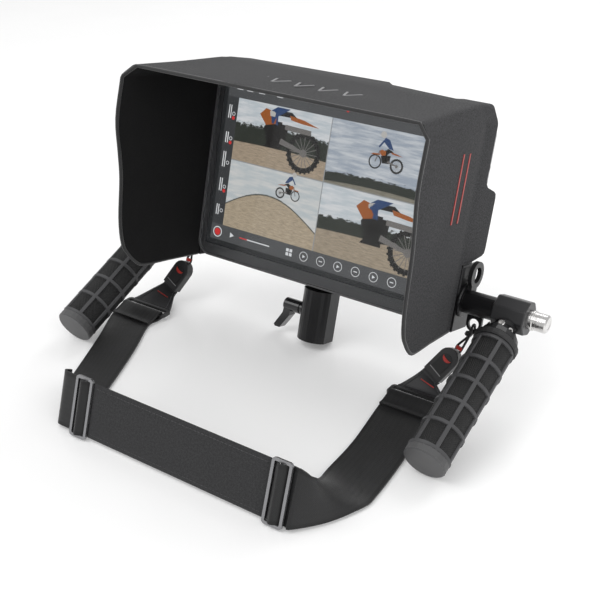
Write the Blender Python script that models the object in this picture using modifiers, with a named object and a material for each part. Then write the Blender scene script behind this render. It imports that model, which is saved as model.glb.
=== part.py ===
"""Director's monitor kit: a caged monitor with a sun hood, two turning hand grips, a stand receiver and a strap.

Metres, +Z up. The screen faces -Y and leans back. The kit stands on the rear edge of its receiver post
and on the ends of both grips. The origin is the middle of the bounding box, on the floor.
"""

from math import acos, asin, atan2, cos, hypot, pi, radians, sin

import bmesh
import bpy
from mathutils import Matrix, Vector

# Driving dimensions. "Depth" runs from the face of the screen to the back.
GAP = 0.0003
TILT = radians(15.0)

SCREEN_WIDTH = 0.240
SCREEN_HEIGHT = 0.165
SCREEN_CORNER = 0.012
BEZEL_DEPTH = 0.010
GLASS_THICKNESS = 0.0012
GLASS_MARGIN = 0.0018
DISPLAY_WIDTH = SCREEN_WIDTH - 0.015
DISPLAY_HEIGHT = SCREEN_HEIGHT - 0.022
DISPLAY_THICKNESS = 0.0035
TRAY_THICKNESS = 0.002
CHASSIS_THICKNESS = 0.0018
BOSS_HEIGHT = 0.0036
BOSS_RADIUS = 0.0035
BOARD_WIDTH = SCREEN_WIDTH - 0.050
BOARD_HEIGHT = SCREEN_HEIGHT - 0.055
BOARD_THICKNESS = 0.0016
DRIVE_SIZE = (0.100, 0.007, SCREEN_HEIGHT - 0.095)
HOUSING_DEPTH = 0.030
HOUSING_TOP_DROP = 0.008
HOUSING_WALL = 0.0022
HUMP_WIDTH = 0.124
HUMP_HEIGHT = SCREEN_HEIGHT - 0.101
HUMP_DEPTH = 0.010
VENT_COUNT = 6
VENT_SIZE = (0.040, 0.003)
VENT_PITCH = 0.0065
POWER_BUTTON_RADIUS = 0.003
POWER_BUTTON_HEIGHT = SCREEN_HEIGHT - 0.044
POWER_BUTTON_TRAVEL = 0.0008

CAGE_THICKNESS = 0.0035
CAGE_FRONT = 0.012
CAGE_BACK = 0.033
BRACKET_THICKNESS = 0.004
BRACKET_FRONT = 0.006
BRACKET_TOP = 0.048

ARM_DEPTH = 0.0175
ARM_HEIGHT = 0.0205
ARM_RADIUS = 0.009
ARM_LENGTH = 0.0254
FLANGE_RADIUS = 0.013
FLANGE_THICKNESS = 0.002
SPINDLE_RADIUS = 0.005
SPINDLE_LENGTH = 0.0195
EYELET_RADIUS = 0.0105
EYELET_HOLE = 0.0063
EYELET_THICKNESS = 0.0033
EYELET_CENTRE = (0.0215, 0.041)
STRAP_EYE_RADIUS = 0.0062
STRAP_EYE_HOLE = 0.0042
STRAP_EYE_OFFSET = 0.0099

BARREL_FLATS = 0.025
BARREL_LENGTH = 0.0256
BARREL_WALL = 0.0032
BARREL_CAVITY = 0.0090
GEAR_TEETH = 12
GEAR_RADIUS = 0.0083
GEAR_WIDTH = 0.005
SPRING_WIRE = 0.0005
SPRING_TURNS = 3
BUTTON_RADIUS = 0.0070
BUTTON_LENGTH = 0.0105
BUTTON_FLANGE = 0.0078
BUTTON_FLANGE_WIDTH = 0.0018
BUTTON_LIP = 0.0015
BUTTON_TRAVEL = 0.0025

GRIP_RADIUS = 0.0164
GRIP_CORE_RADIUS = 0.0100
GRIP_CORE_WALL = 0.002
GRIP_LENGTH = 0.1027
GRIP_RING_PITCH = 0.019
GRIP_RING_HEIGHT = 0.0005
NECK_LENGTH = 0.0142
NECK_RADIUS = 0.009
COLLAR_RADIUS = 0.0172
COLLAR_LENGTH = 0.0057
CAP_RADIUS = 0.016
CAP_LENGTH = 0.0057
CAP_EDGE = 0.001
NECK_SCREW_RADIUS = 0.0028

POST_RADIUS = 0.015
POST_FLAT = 0.0132
POST_LENGTH = 0.0437
POST_DEPTH = 0.0185
BORE_RADIUS = 0.00815
BORE_LENGTH = 0.036
CLAMP_DROP = 0.0216
CLAMP_SCREW_RADIUS = 0.003
CLAMP_PAD_LENGTH = 0.0018
LEVER_HUB_RADIUS = 0.0055
LEVER_HUB_LENGTH = 0.019
LEVER_STANDOFF = 0.001
LEVER_REACH = 0.021
LEVER_WIDTH = 0.009
LEVER_THICKNESS = 0.006
LEVER_SPREAD = 0.008

HOOD_THICKNESS = 0.0022
HOOD_DEPTH = 0.1055
HOOD_FLARE = 0.008
HOOD_SIDE_CLEARANCE = 0.0013
HOOD_ROOF_INSET = 0.003
HOOD_FRONT_ROOF_INSET = 0.0087
HOOD_SIDE_DROP = 0.0125
HOOD_FRONT_ROOF_DROP = 0.012
HOOD_FRONT_SIDE_DROP = 0.021
HOOD_ROOF_SETBACK = 0.005
HOOD_SKIRT = 0.020
HOOD_MITRE = 0.0011
HOOD_FLAP = 0.0425
HOOD_BRACKET_LINE = 0.0045
HOOD_BRACKET_TOP = BRACKET_TOP + 0.002
HOOD_FLAP_TOP = SCREEN_HEIGHT - 0.063

# The front and lower edge of a hood side, from the top: shares of the hood's depth and of the screen's height.
HOOD_EDGE = (
    (0.992, 0.872), (1.000, 0.685), (0.945, 0.530), (0.900, 0.400), (0.868, 0.206),
    (0.815, 0.079), (0.740, 0.020), (0.660, -0.020), (0.569, -0.039), (0.300, -0.027),
)

WEBBING_WIDTH = 0.041
WEBBING_THICKNESS = 0.0016
PAD_THICKNESS = 0.003
PAD_LENGTH = 0.1565
PAD_LEFT_END = -0.0560
BAND_Y = -0.2050
BAND_LEAN = radians(18.0)
FLOOR_CLEARANCE = 0.0004
SLIDER_WIDTH = 0.016
SLIDER_BAR = 0.0022
SLIDER_THICKNESS = 0.002
LOOP_WIDTH = 0.048
LOOP_LENGTH = 0.0125
LOOP_BAR = 0.0026
LOOP_THICKNESS = 0.0026
LOOP_LIFT = 0.0023
TAB_THICKNESS = 0.0026
TAB_NARROW = 0.017
POD_SIZE = (0.017, 0.0275, 0.008)
CORD_RADIUS = 0.00095

# Places of the two strap ends: the middle of the loop (x, y), the foot and the head of the quick connector (x, y, z).
STRAP_ENDS = {
    "left": (
        Vector((-SCREEN_WIDTH / 2 - 0.0330, -0.0335)), Vector((-SCREEN_WIDTH / 2 - 0.0295, -0.0030, 0.0135)),
        Vector((-SCREEN_WIDTH / 2 - 0.0180, 0.0075, 0.0350)),
    ),
    "right": (
        Vector((SCREEN_WIDTH / 2 - 0.0055, -0.0260)), Vector((SCREEN_WIDTH / 2 - 0.0045, -0.0035, 0.0135)),
        Vector((SCREEN_WIDTH / 2 + 0.0100, 0.0070, 0.0350)),
    ),
}

ROUND = 24
SMALL_ROUND = 16


# Materials


def make_material(name, colour, roughness, metallic=0.0, alpha=1.0):
    material = bpy.data.materials.new(name)
    material.use_nodes = True
    shader = material.node_tree.nodes["Principled BSDF"]
    shader.inputs["Base Color"].default_value = (*colour, 1.0)
    shader.inputs["Roughness"].default_value = roughness
    shader.inputs["Metallic"].default_value = metallic
    shader.inputs["Alpha"].default_value = alpha
    material.diffuse_color = (*colour, alpha)
    return material


def make_materials():
    return {
        "bezel": make_material("bezel", (0.115, 0.115, 0.117), 0.45),
        "glass": make_material("glass", (0.02, 0.02, 0.022), 0.05, alpha=0.35),
        "display": make_material("display", (0.10, 0.12, 0.14), 0.25),
        "plate": make_material("plate", (0.60, 0.60, 0.61), 0.4, 1.0),
        "board": make_material("board", (0.02, 0.13, 0.05), 0.5),
        "housing": make_material("housing", (0.55, 0.55, 0.56), 0.4),
        "anodised": make_material("anodised", (0.022, 0.022, 0.024), 0.4, 0.6),
        "chrome": make_material("chrome", (0.75, 0.75, 0.76), 0.15, 1.0),
        "rubber": make_material("rubber", (0.035, 0.035, 0.036), 0.75),
        "collar": make_material("collar", (0.05, 0.05, 0.052), 0.6),
        "cap": make_material("cap", (0.16, 0.16, 0.16), 0.55),
        "lever": make_material("lever", (0.012, 0.012, 0.013), 0.4),
        "hood": make_material("hood", (0.040, 0.040, 0.042), 0.9),
        "webbing": make_material("webbing", (0.018, 0.018, 0.019), 0.55),
        "pad": make_material("pad", (0.045, 0.045, 0.047), 0.7),
        "slider": make_material("slider", (0.33, 0.33, 0.34), 0.35, 0.9),
        "nylon": make_material("nylon", (0.020, 0.020, 0.022), 0.5),
        "leather": make_material("leather", (0.045, 0.045, 0.047), 0.6),
        "cord": make_material("cord", (0.015, 0.015, 0.016), 0.7),
    }


# Shape tools


class Assembly:
    """Keeps the collections and the materials, and turns shapes into named pieces."""

    def __init__(self):
        self.parts = bpy.data.collections.new("monitor_kit")
        self.cutters = bpy.data.collections.new("cutters")
        bpy.context.scene.collection.children.link(self.parts)
        bpy.context.scene.collection.children.link(self.cutters)
        self.materials = make_materials()
        self.frames = []

    def frame(self, name, location, rotation_x=0.0):
        """An empty that carries pieces: a place, turned about X."""
        empty = bpy.data.objects.new(name, None)
        empty.location = location
        empty.rotation_euler = (rotation_x, 0.0, 0.0)
        self.parts.objects.link(empty)
        self.frames.append(empty)
        return empty

    def piece(self, name, mesh, material, parent, place=None):
        piece = bpy.data.objects.new(name, mesh)
        piece.parent = parent
        if place is not None:
            piece.matrix_basis = place
        mesh.materials.append(self.materials[material])
        self.parts.objects.link(piece)
        return piece

    def helper(self, owner, mesh, place, operation, solver="EXACT"):
        """A Boolean operand in the owner's frame, hidden from the render."""
        tool = bpy.data.objects.new(f"{owner.name}_{operation.lower()}", mesh)
        tool.parent = owner.parent
        tool.matrix_basis = place
        tool.hide_render = True
        tool.display_type = "WIRE"
        self.cutters.objects.link(tool)
        modifier = owner.modifiers.new(operation.lower(), "BOOLEAN")
        modifier.operation = operation
        modifier.solver = solver
        modifier.object = tool

    def cut(self, owner, mesh, place):
        self.helper(owner, mesh, place, "DIFFERENCE")

    def join(self, owner, mesh, place):
        self.helper(owner, mesh, place, "UNION")


def at(x=0.0, y=0.0, z=0.0):
    return Matrix.Translation((x, y, z))


# Turns that lay a shape's own Z along another axis.
TO_FRONT = Matrix.Rotation(pi / 2, 4, "X")
TO_RIGHT = Matrix.Rotation(pi / 2, 4, "Y")
TO_LEFT = Matrix.Rotation(-pi / 2, 4, "Y")


def box_mesh(size, bevel=0.0, segments=1):
    shape = bmesh.new()
    bmesh.ops.create_cube(shape, size=1.0)
    bmesh.ops.scale(shape, vec=size, verts=shape.verts)
    if bevel:
        bmesh.ops.bevel(
            shape, geom=shape.edges[:], offset=bevel, segments=segments, profile=0.5, affect="EDGES"
        )
    return finished_mesh(shape)


def cylinder_mesh(radius, length, sides=ROUND, turn=0.0):
    shape = bmesh.new()
    bmesh.ops.create_cone(
        shape, cap_ends=True, segments=sides, radius1=radius, radius2=radius, depth=length,
        matrix=Matrix.Rotation(turn, 4, "Z"),
    )
    return finished_mesh(shape)


def finished_mesh(shape):
    mesh = bpy.data.meshes.new("shape")
    shape.to_mesh(mesh)
    shape.free()
    return mesh


def turned_mesh(outer, inner=None, sides=ROUND):
    """A turned solid about Z. outer and inner list (height, radius) from low to high; inner is the bore."""
    profile = [(radius, height) for height, radius in reversed(outer)]
    if inner:
        profile += [(radius, height) for height, radius in inner]
    else:
        profile = [(0.0, profile[0][1]), *profile, (0.0, profile[-1][1])]
    mesh = bpy.data.meshes.new("profile")
    count = len(profile)
    edges = [(i, i + 1) for i in range(count - 1)]
    if inner:
        edges.append((count - 1, 0))
    mesh.from_pydata([(radius, 0.0, height) for radius, height in profile], edges, [])
    holder = bpy.data.objects.new("profile", mesh)
    bpy.context.scene.collection.objects.link(holder)
    screw = holder.modifiers.new("turn", "SCREW")
    screw.steps = sides
    screw.render_steps = sides
    screw.use_merge_vertices = True
    screw.merge_threshold = 1e-6
    return evaluated_mesh(holder)


def outline_mesh(loops, thickness):
    """A flat outline in XY, with holes, given a thickness along Z."""
    curve = bpy.data.curves.new("outline", "CURVE")
    curve.dimensions = "2D"
    curve.fill_mode = "BOTH"
    curve.extrude = thickness / 2
    for loop in loops:
        spline = curve.splines.new("POLY")
        spline.points.add(len(loop) - 1)
        for point, (x, y) in zip(spline.points, loop):
            point.co = (x, y, 0.0, 1.0)
        spline.use_cyclic_u = True
    holder = bpy.data.objects.new("outline", curve)
    bpy.context.scene.collection.objects.link(holder)
    return evaluated_mesh(holder)


def tube_mesh(points, radius, resolution=2):
    """A round rod or cord along points."""
    curve = bpy.data.curves.new("route", "CURVE")
    curve.dimensions = "3D"
    curve.bevel_depth = radius
    curve.bevel_resolution = resolution
    curve.use_fill_caps = True
    spline = curve.splines.new("POLY")
    spline.points.add(len(points) - 1)
    for point, place in zip(spline.points, points):
        point.co = (*place, 1.0)
    holder = bpy.data.objects.new("route", curve)
    bpy.context.scene.collection.objects.link(holder)
    return evaluated_mesh(holder)


def evaluated_mesh(holder):
    """The holder's finished mesh, with its loose caps welded. The holder is removed."""
    graph = bpy.context.evaluated_depsgraph_get()
    mesh = bpy.data.meshes.new_from_object(holder.evaluated_get(graph))
    bpy.data.objects.remove(holder)
    shape = bmesh.new()
    shape.from_mesh(mesh)
    bmesh.ops.remove_doubles(shape, verts=shape.verts, dist=1e-6)
    bmesh.ops.recalc_face_normals(shape, faces=shape.faces)
    shape.to_mesh(mesh)
    shape.free()
    return mesh


def rounded_rectangle(width, height, radius, steps=4):
    points = []
    for quarter, (sx, sy) in enumerate(((1, 1), (-1, 1), (-1, -1), (1, -1))):
        for step in range(steps + 1):
            angle = (quarter + step / steps) * pi / 2
            points.append((
                sx * (width / 2 - radius) + radius * cos(angle),
                sy * (height / 2 - radius) + radius * sin(angle),
            ))
    return points


def circle(radius, x=0.0, y=0.0, steps=SMALL_ROUND):
    return [
        (x + radius * cos(2 * pi * step / steps), y + radius * sin(2 * pi * step / steps))
        for step in range(steps)
    ]


def arc(x, y, radius, start, end, steps=5):
    return [
        (x + radius * cos(start + (end - start) * step / steps), y + radius * sin(start + (end - start) * step / steps))
        for step in range(steps + 1)
    ]


def toothed_circle(root, tip, teeth):
    """A gear's outline: a root, a flank and a tip for each tooth."""
    points = []
    for tooth in range(teeth):
        for share, radius in ((0.0, root), (0.30, root), (0.45, tip), (0.85, tip)):
            angle = 2 * pi * (tooth + share) / teeth
            points.append((radius * cos(angle), radius * sin(angle)))
    return points


def smooth_route(points, steps):
    """Points along a smooth curve that passes through all the given ones."""
    padded = [2 * points[0] - points[1], *points, 2 * points[-1] - points[-2]]
    route = []
    for before, start, end, after in zip(padded, padded[1:], padded[2:], padded[3:]):
        for step in range(steps):
            t = step / steps
            route.append(0.5 * (
                2 * start + (end - before) * t + (2 * before - 5 * start + 4 * end - after) * t * t
                + (3 * start - before - 3 * end + after) * t * t * t
            ))
    route.append(points[-1].copy())
    return route


def ribbon_mesh(one_edge, other_edge, thickness, steps):
    """A strap between two edges, each a smooth curve through its points."""
    shape = bmesh.new()
    rows = [
        (shape.verts.new(a), shape.verts.new(b))
        for a, b in zip(smooth_route(one_edge, steps), smooth_route(other_edge, steps))
    ]
    for (a, b), (c, d) in zip(rows, rows[1:]):
        shape.faces.new((a, b, d, c))
    return thickened_mesh(shape, thickness)


def thickened_mesh(shape, thickness, offset=0.0):
    """An open surface given a thickness. Offset -1 keeps the surface as the outer side."""
    holder = bpy.data.objects.new("surface", finished_mesh(shape))
    bpy.context.scene.collection.objects.link(holder)
    solid = holder.modifiers.new("thickness", "SOLIDIFY")
    solid.thickness = thickness
    solid.offset = offset
    solid.use_even_offset = True
    return evaluated_mesh(holder)


def aligned(origin, along, across):
    """A frame at origin with Y along one direction and X close to another."""
    y_axis = along.normalized()
    z_axis = across.cross(y_axis).normalized()
    x_axis = y_axis.cross(z_axis)
    turn = Matrix((x_axis, y_axis, z_axis)).transposed().to_4x4()
    return Matrix.Translation(origin) @ turn


# Where the main groups sit, worked out from the driving dimensions


def post_bottom():
    """Depth of the post's lower end below the screen's lower edge."""
    return GAP + CAGE_THICKNESS + GAP + POST_LENGTH


def screen_base_height():
    """The rear edge of the post's lower end touches the floor."""
    return post_bottom() * cos(TILT) + (POST_DEPTH + POST_RADIUS) * sin(TILT)


def arm_axis_place():
    """Y and Z of the hinge line of both grips."""
    y = ARM_DEPTH * cos(TILT) + ARM_HEIGHT * sin(TILT)
    z = screen_base_height() - ARM_DEPTH * sin(TILT) + ARM_HEIGHT * cos(TILT)
    return y, z


def barrel_start():
    return SCREEN_WIDTH / 2 + GAP + BRACKET_THICKNESS + GAP + FLANGE_THICKNESS + ARM_LENGTH + GAP


def barrel_end():
    return barrel_start() + BARREL_LENGTH


def grip_centre():
    return barrel_start() + BARREL_LENGTH / 2


def neck_start():
    return BARREL_FLATS / 2 + GAP


def collar_start():
    return neck_start() + NECK_LENGTH + GAP


def sleeve_start():
    return collar_start() + COLLAR_LENGTH + GAP


def cap_start():
    return sleeve_start() + GRIP_LENGTH + GAP


def grip_slope():
    """The angle at which the edge of the end cap reaches the floor."""
    reach = cap_start() + CAP_LENGTH - CAP_EDGE
    return asin(arm_axis_place()[1] / hypot(reach, CAP_RADIUS)) - atan2(CAP_RADIUS, reach)


# Monitor


def make_bezel(kit, screen):
    middle = SCREEN_HEIGHT / 2
    outline = rounded_rectangle(SCREEN_WIDTH, SCREEN_HEIGHT, SCREEN_CORNER)
    window = rounded_rectangle(DISPLAY_WIDTH + 0.001, DISPLAY_HEIGHT + 0.001, 0.0004, 1)
    bezel = kit.piece(
        "bezel_frame", outline_mesh([outline, window], BEZEL_DEPTH), "bezel", screen,
        at(0, BEZEL_DEPTH / 2, middle) @ TO_FRONT,
    )
    pocket_depth = GLASS_THICKNESS + GAP
    pocket = rounded_rectangle(
        SCREEN_WIDTH - 2 * GLASS_MARGIN + 2 * GAP, SCREEN_HEIGHT - 2 * GLASS_MARGIN + 2 * GAP,
        SCREEN_CORNER - GLASS_MARGIN + GAP,
    )
    kit.cut(bezel, outline_mesh([pocket], 2 * pocket_depth), at(0, 0, middle) @ TO_FRONT)
    glass = rounded_rectangle(
        SCREEN_WIDTH - 2 * GLASS_MARGIN, SCREEN_HEIGHT - 2 * GLASS_MARGIN, SCREEN_CORNER - GLASS_MARGIN
    )
    kit.piece(
        "front_glass", outline_mesh([glass], GLASS_THICKNESS), "glass", screen,
        at(0, GLASS_THICKNESS / 2, middle) @ TO_FRONT,
    )


def make_display(kit, screen):
    middle = SCREEN_HEIGHT / 2
    depth = GLASS_THICKNESS + GAP
    kit.piece(
        "display_panel", box_mesh((DISPLAY_WIDTH, DISPLAY_THICKNESS, DISPLAY_HEIGHT)), "display", screen,
        at(0, depth + DISPLAY_THICKNESS / 2, middle),
    )
    depth += DISPLAY_THICKNESS + GAP
    kit.piece(
        "backlight_tray", box_mesh((DISPLAY_WIDTH, TRAY_THICKNESS, DISPLAY_HEIGHT)), "plate", screen,
        at(0, depth + TRAY_THICKNESS / 2, middle),
    )
    depth += TRAY_THICKNESS + GAP
    chassis = kit.piece(
        "chassis_plate", box_mesh((DISPLAY_WIDTH, CHASSIS_THICKNESS, DISPLAY_HEIGHT)), "plate", screen,
        at(0, depth + CHASSIS_THICKNESS / 2, middle),
    )
    depth += CHASSIS_THICKNESS
    for x in (-1, 1):
        for z in (-1, 1):
            kit.join(
                chassis, cylinder_mesh(BOSS_RADIUS, BOSS_HEIGHT + CHASSIS_THICKNESS / 2, 10),
                at(
                    x * (BOARD_WIDTH / 2 - 0.008),
                    depth + (BOSS_HEIGHT - CHASSIS_THICKNESS / 2) / 2,
                    middle + z * (BOARD_HEIGHT / 2 - 0.008),
                ) @ TO_FRONT,
            )
    depth += BOSS_HEIGHT + GAP
    kit.piece(
        "main_board", box_mesh((BOARD_WIDTH, BOARD_THICKNESS, BOARD_HEIGHT)), "board", screen,
        at(0, depth + BOARD_THICKNESS / 2, middle),
    )
    depth += BOARD_THICKNESS + GAP
    kit.piece(
        "recording_drive", box_mesh(DRIVE_SIZE, 0.0006), "plate", screen,
        at(0, depth + DRIVE_SIZE[1] / 2, middle),
    )


def make_housing(kit, screen):
    height = SCREEN_HEIGHT - HOUSING_TOP_DROP
    middle = height / 2
    front = BEZEL_DEPTH + GAP
    depth = HOUSING_DEPTH - front
    outline = rounded_rectangle(SCREEN_WIDTH, height, SCREEN_CORNER)
    housing = kit.piece(
        "rear_housing", outline_mesh([outline], depth), "housing", screen,
        at(0, front + depth / 2, middle) @ TO_FRONT,
    )
    kit.join(
        housing, box_mesh((HUMP_WIDTH, 2 * HUMP_DEPTH, HUMP_HEIGHT), 0.003),
        at(0, HOUSING_DEPTH, middle),
    )
    cavity = rounded_rectangle(
        SCREEN_WIDTH - 2 * HOUSING_WALL, height - 2 * HOUSING_WALL, SCREEN_CORNER - HOUSING_WALL
    )
    kit.cut(housing, outline_mesh([cavity], 2 * (depth - HOUSING_WALL)), at(0, front, middle) @ TO_FRONT)
    kit.cut(
        housing,
        box_mesh((HUMP_WIDTH - 2 * HOUSING_WALL, 2 * HUMP_DEPTH, HUMP_HEIGHT - 2 * HOUSING_WALL)),
        at(0, HOUSING_DEPTH - HOUSING_WALL, middle),
    )
    for side in (-1, 1):
        for row in range(VENT_COUNT):
            kit.cut(
                housing, box_mesh((VENT_SIZE[0], 4 * HOUSING_WALL, VENT_SIZE[1])),
                at(
                    side * (SCREEN_WIDTH + HUMP_WIDTH) / 4, HOUSING_DEPTH,
                    middle + (row - (VENT_COUNT - 1) / 2) * VENT_PITCH,
                ),
            )
    button_depth = (front + HOUSING_DEPTH) / 2 + 0.003
    kit.cut(
        housing, cylinder_mesh(POWER_BUTTON_RADIUS + GAP, 4 * HOUSING_WALL, SMALL_ROUND),
        at(SCREEN_WIDTH / 2, button_depth, POWER_BUTTON_HEIGHT) @ TO_RIGHT,
    )
    stem, lip = HOUSING_WALL + 0.0015, 0.0012
    button = turned_mesh(
        [(-lip, POWER_BUTTON_RADIUS + 0.001), (0, POWER_BUTTON_RADIUS + 0.001), (0, POWER_BUTTON_RADIUS),
         (stem, POWER_BUTTON_RADIUS), (stem + 0.0004, POWER_BUTTON_RADIUS - 0.0004)],
        sides=SMALL_ROUND,
    )
    kit.piece(
        "power_button", button, "lever", screen,
        at(SCREEN_WIDTH / 2 - HOUSING_WALL - GAP, button_depth, POWER_BUTTON_HEIGHT) @ TO_RIGHT,
    )


# Cage, arms and strap eyes


def make_cage(kit, screen):
    depth = CAGE_BACK - CAGE_FRONT
    middle = (CAGE_BACK + CAGE_FRONT) / 2
    kit.piece(
        "cage_bottom_bar", box_mesh((SCREEN_WIDTH, depth, CAGE_THICKNESS), 0.0006), "anodised", screen,
        at(0, middle, -GAP - CAGE_THICKNESS / 2),
    )
    height = BRACKET_TOP + GAP + CAGE_THICKNESS
    depth = CAGE_BACK - BRACKET_FRONT
    for name, side in (("left", -1), ("right", 1)):
        kit.piece(
            f"side_bracket_{name}", box_mesh((BRACKET_THICKNESS, depth, height), 0.0008), "anodised", screen,
            at(
                side * (SCREEN_WIDTH / 2 + GAP + BRACKET_THICKNESS / 2),
                (CAGE_BACK + BRACKET_FRONT) / 2, BRACKET_TOP - height / 2,
            ),
        )


def make_arms(kit, screen):
    start = SCREEN_WIDTH / 2 + GAP + BRACKET_THICKNESS + GAP
    tube_end = FLANGE_THICKNESS + ARM_LENGTH
    profile = [
        (0, FLANGE_RADIUS), (FLANGE_THICKNESS - 0.0008, FLANGE_RADIUS), (FLANGE_THICKNESS, FLANGE_RADIUS - 0.0008),
        (FLANGE_THICKNESS, ARM_RADIUS), (tube_end, ARM_RADIUS), (tube_end, SPINDLE_RADIUS),
        (tube_end + SPINDLE_LENGTH, SPINDLE_RADIUS),
    ]
    for name, side, turn in (("left", -1, TO_LEFT), ("right", 1, TO_RIGHT)):
        kit.piece(
            f"arm_{name}", turned_mesh(profile), "anodised", screen,
            at(side * start, ARM_DEPTH, ARM_HEIGHT) @ turn,
        )
        make_eyelet(kit, screen, name, side * (start + FLANGE_THICKNESS + GAP + EYELET_THICKNESS / 2))
        make_strap_eye(kit, screen, name, side * (start + FLANGE_THICKNESS + STRAP_EYE_OFFSET))


def make_eyelet(kit, screen, name, x):
    """A ring that stands on the arm, on a short foot."""
    y, z = EYELET_CENTRE
    seat = ARM_RADIUS + GAP
    ring = outline_mesh([circle(EYELET_RADIUS, steps=24), circle(EYELET_HOLE, steps=20)], EYELET_THICKNESS)
    eyelet = kit.piece(f"upper_eyelet_{name}", ring, "nylon", screen, at(x, y, z) @ TO_RIGHT)
    foot = z - EYELET_HOLE - 0.001 - ARM_HEIGHT - 0.5 * seat
    kit.join(
        eyelet, box_mesh((EYELET_THICKNESS, 0.010, foot)),
        at(x, (y + ARM_DEPTH) / 2, z - EYELET_HOLE - 0.001 - foot / 2),
    )
    kit.cut(eyelet, cylinder_mesh(seat, 4 * EYELET_THICKNESS), at(x, ARM_DEPTH, ARM_HEIGHT) @ TO_RIGHT)


def strap_eye_centre():
    return ARM_HEIGHT - ARM_RADIUS - GAP - STRAP_EYE_RADIUS


def make_strap_eye(kit, screen, name, x):
    """A lug under the arm, with a round hole for the cord of the quick connector."""
    height = STRAP_EYE_RADIUS + 0.0005
    outline = arc(0, 0, STRAP_EYE_RADIUS, -pi, 0, 10) + [(STRAP_EYE_RADIUS, height), (-STRAP_EYE_RADIUS, height)]
    eye = kit.piece(
        f"strap_eye_{name}", outline_mesh([outline, circle(STRAP_EYE_HOLE)], 0.0026), "anodised", screen,
        at(x, ARM_DEPTH, strap_eye_centre()) @ TO_FRONT,
    )
    kit.cut(eye, cylinder_mesh(ARM_RADIUS + GAP, 4 * STRAP_EYE_RADIUS), at(x, ARM_DEPTH, ARM_HEIGHT) @ TO_RIGHT)


# Turning grips


def make_joint(kit, handle, name, side, turn):
    """The eight-sided barrel, and the push button with its toothed ring and spring inside it."""
    flat_to_corner = cos(pi / 8)
    barrel = kit.piece(
        f"joint_barrel_{name}",
        cylinder_mesh(BARREL_FLATS / 2 / flat_to_corner, BARREL_LENGTH, 8, pi / 8), "anodised", handle,
        at(side * grip_centre()) @ turn,
    )
    edge = barrel.modifiers.new("edge", "BEVEL")
    edge.width = 0.0007
    edge.segments = 1
    half = BARREL_LENGTH / 2
    button_hole = BUTTON_RADIUS + GAP
    bore = [
        (-half - 0.001, SPINDLE_RADIUS + GAP), (-half + BARREL_WALL, SPINDLE_RADIUS + GAP),
        (-half + BARREL_WALL, BARREL_CAVITY), (half - BARREL_WALL, BARREL_CAVITY),
        (half - BARREL_WALL, button_hole), (half + 0.001, button_hole),
    ]
    kit.cut(barrel, turned_mesh(bore, sides=24), at(side * grip_centre()) @ turn)

    button_start = barrel_end() - BARREL_WALL - GAP - BUTTON_LIP
    gear_start = button_start - GAP - GEAR_WIDTH
    teeth = toothed_circle(GEAR_RADIUS - 0.0009, GEAR_RADIUS, GEAR_TEETH)
    kit.piece(
        f"lock_gear_{name}",
        outline_mesh([teeth, circle(SPINDLE_RADIUS + 2 * GAP, steps=20)], GEAR_WIDTH), "plate", handle,
        at(side * (gear_start + GEAR_WIDTH / 2)) @ turn,
    )
    lip_start = barrel_end() + GAP + BUTTON_TRAVEL - button_start
    cap_start_x = lip_start + BUTTON_FLANGE_WIDTH
    end = cap_start_x + BUTTON_LENGTH
    button = turned_mesh(
        [(0, GEAR_RADIUS), (BUTTON_LIP, GEAR_RADIUS), (BUTTON_LIP, BUTTON_RADIUS), (lip_start, BUTTON_RADIUS), (lip_start, BUTTON_FLANGE), (cap_start_x, BUTTON_FLANGE),
         (cap_start_x, BUTTON_RADIUS), (end - 0.001, BUTTON_RADIUS), (end, BUTTON_RADIUS - 0.001)]
    )
    push = kit.piece(f"release_button_{name}", button, "chrome", handle, at(side * button_start) @ turn)
    room = SPINDLE_RADIUS + 2 * GAP
    kit.cut(push, cylinder_mesh(room, 0.012, 20), at(side * button_start) @ turn)

    coil_start = barrel_start() + BARREL_WALL + BUTTON_TRAVEL + GAP + SPRING_WIRE
    coil_end = gear_start - GAP - SPRING_WIRE
    coil_radius = SPINDLE_RADIUS + 0.0018
    steps = SPRING_TURNS * 12
    coil = [
        (
            coil_radius * cos(2 * pi * step / 12), coil_radius * sin(2 * pi * step / 12),
            (coil_end - coil_start) * step / steps,
        )
        for step in range(steps + 1)
    ]
    kit.piece(
        f"button_spring_{name}", tube_mesh(coil, SPRING_WIRE, 1), "plate", handle, at(side * coil_start) @ turn
    )


def grip_profile():
    """The outside of a sleeve, with a low ring at each pitch."""
    low = GRIP_RADIUS - GRIP_RING_HEIGHT
    profile = [(0, GRIP_RADIUS), (0.002, GRIP_RADIUS), (0.0025, low)]
    for ring in range(1, int((GRIP_LENGTH - 0.006) / GRIP_RING_PITCH) + 1):
        middle = ring * GRIP_RING_PITCH
        profile += [(middle - 0.0015, low), (middle - 0.001, GRIP_RADIUS), (middle + 0.001, GRIP_RADIUS),
                    (middle + 0.0015, low)]
    return [*profile, (GRIP_LENGTH, low)]


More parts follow.
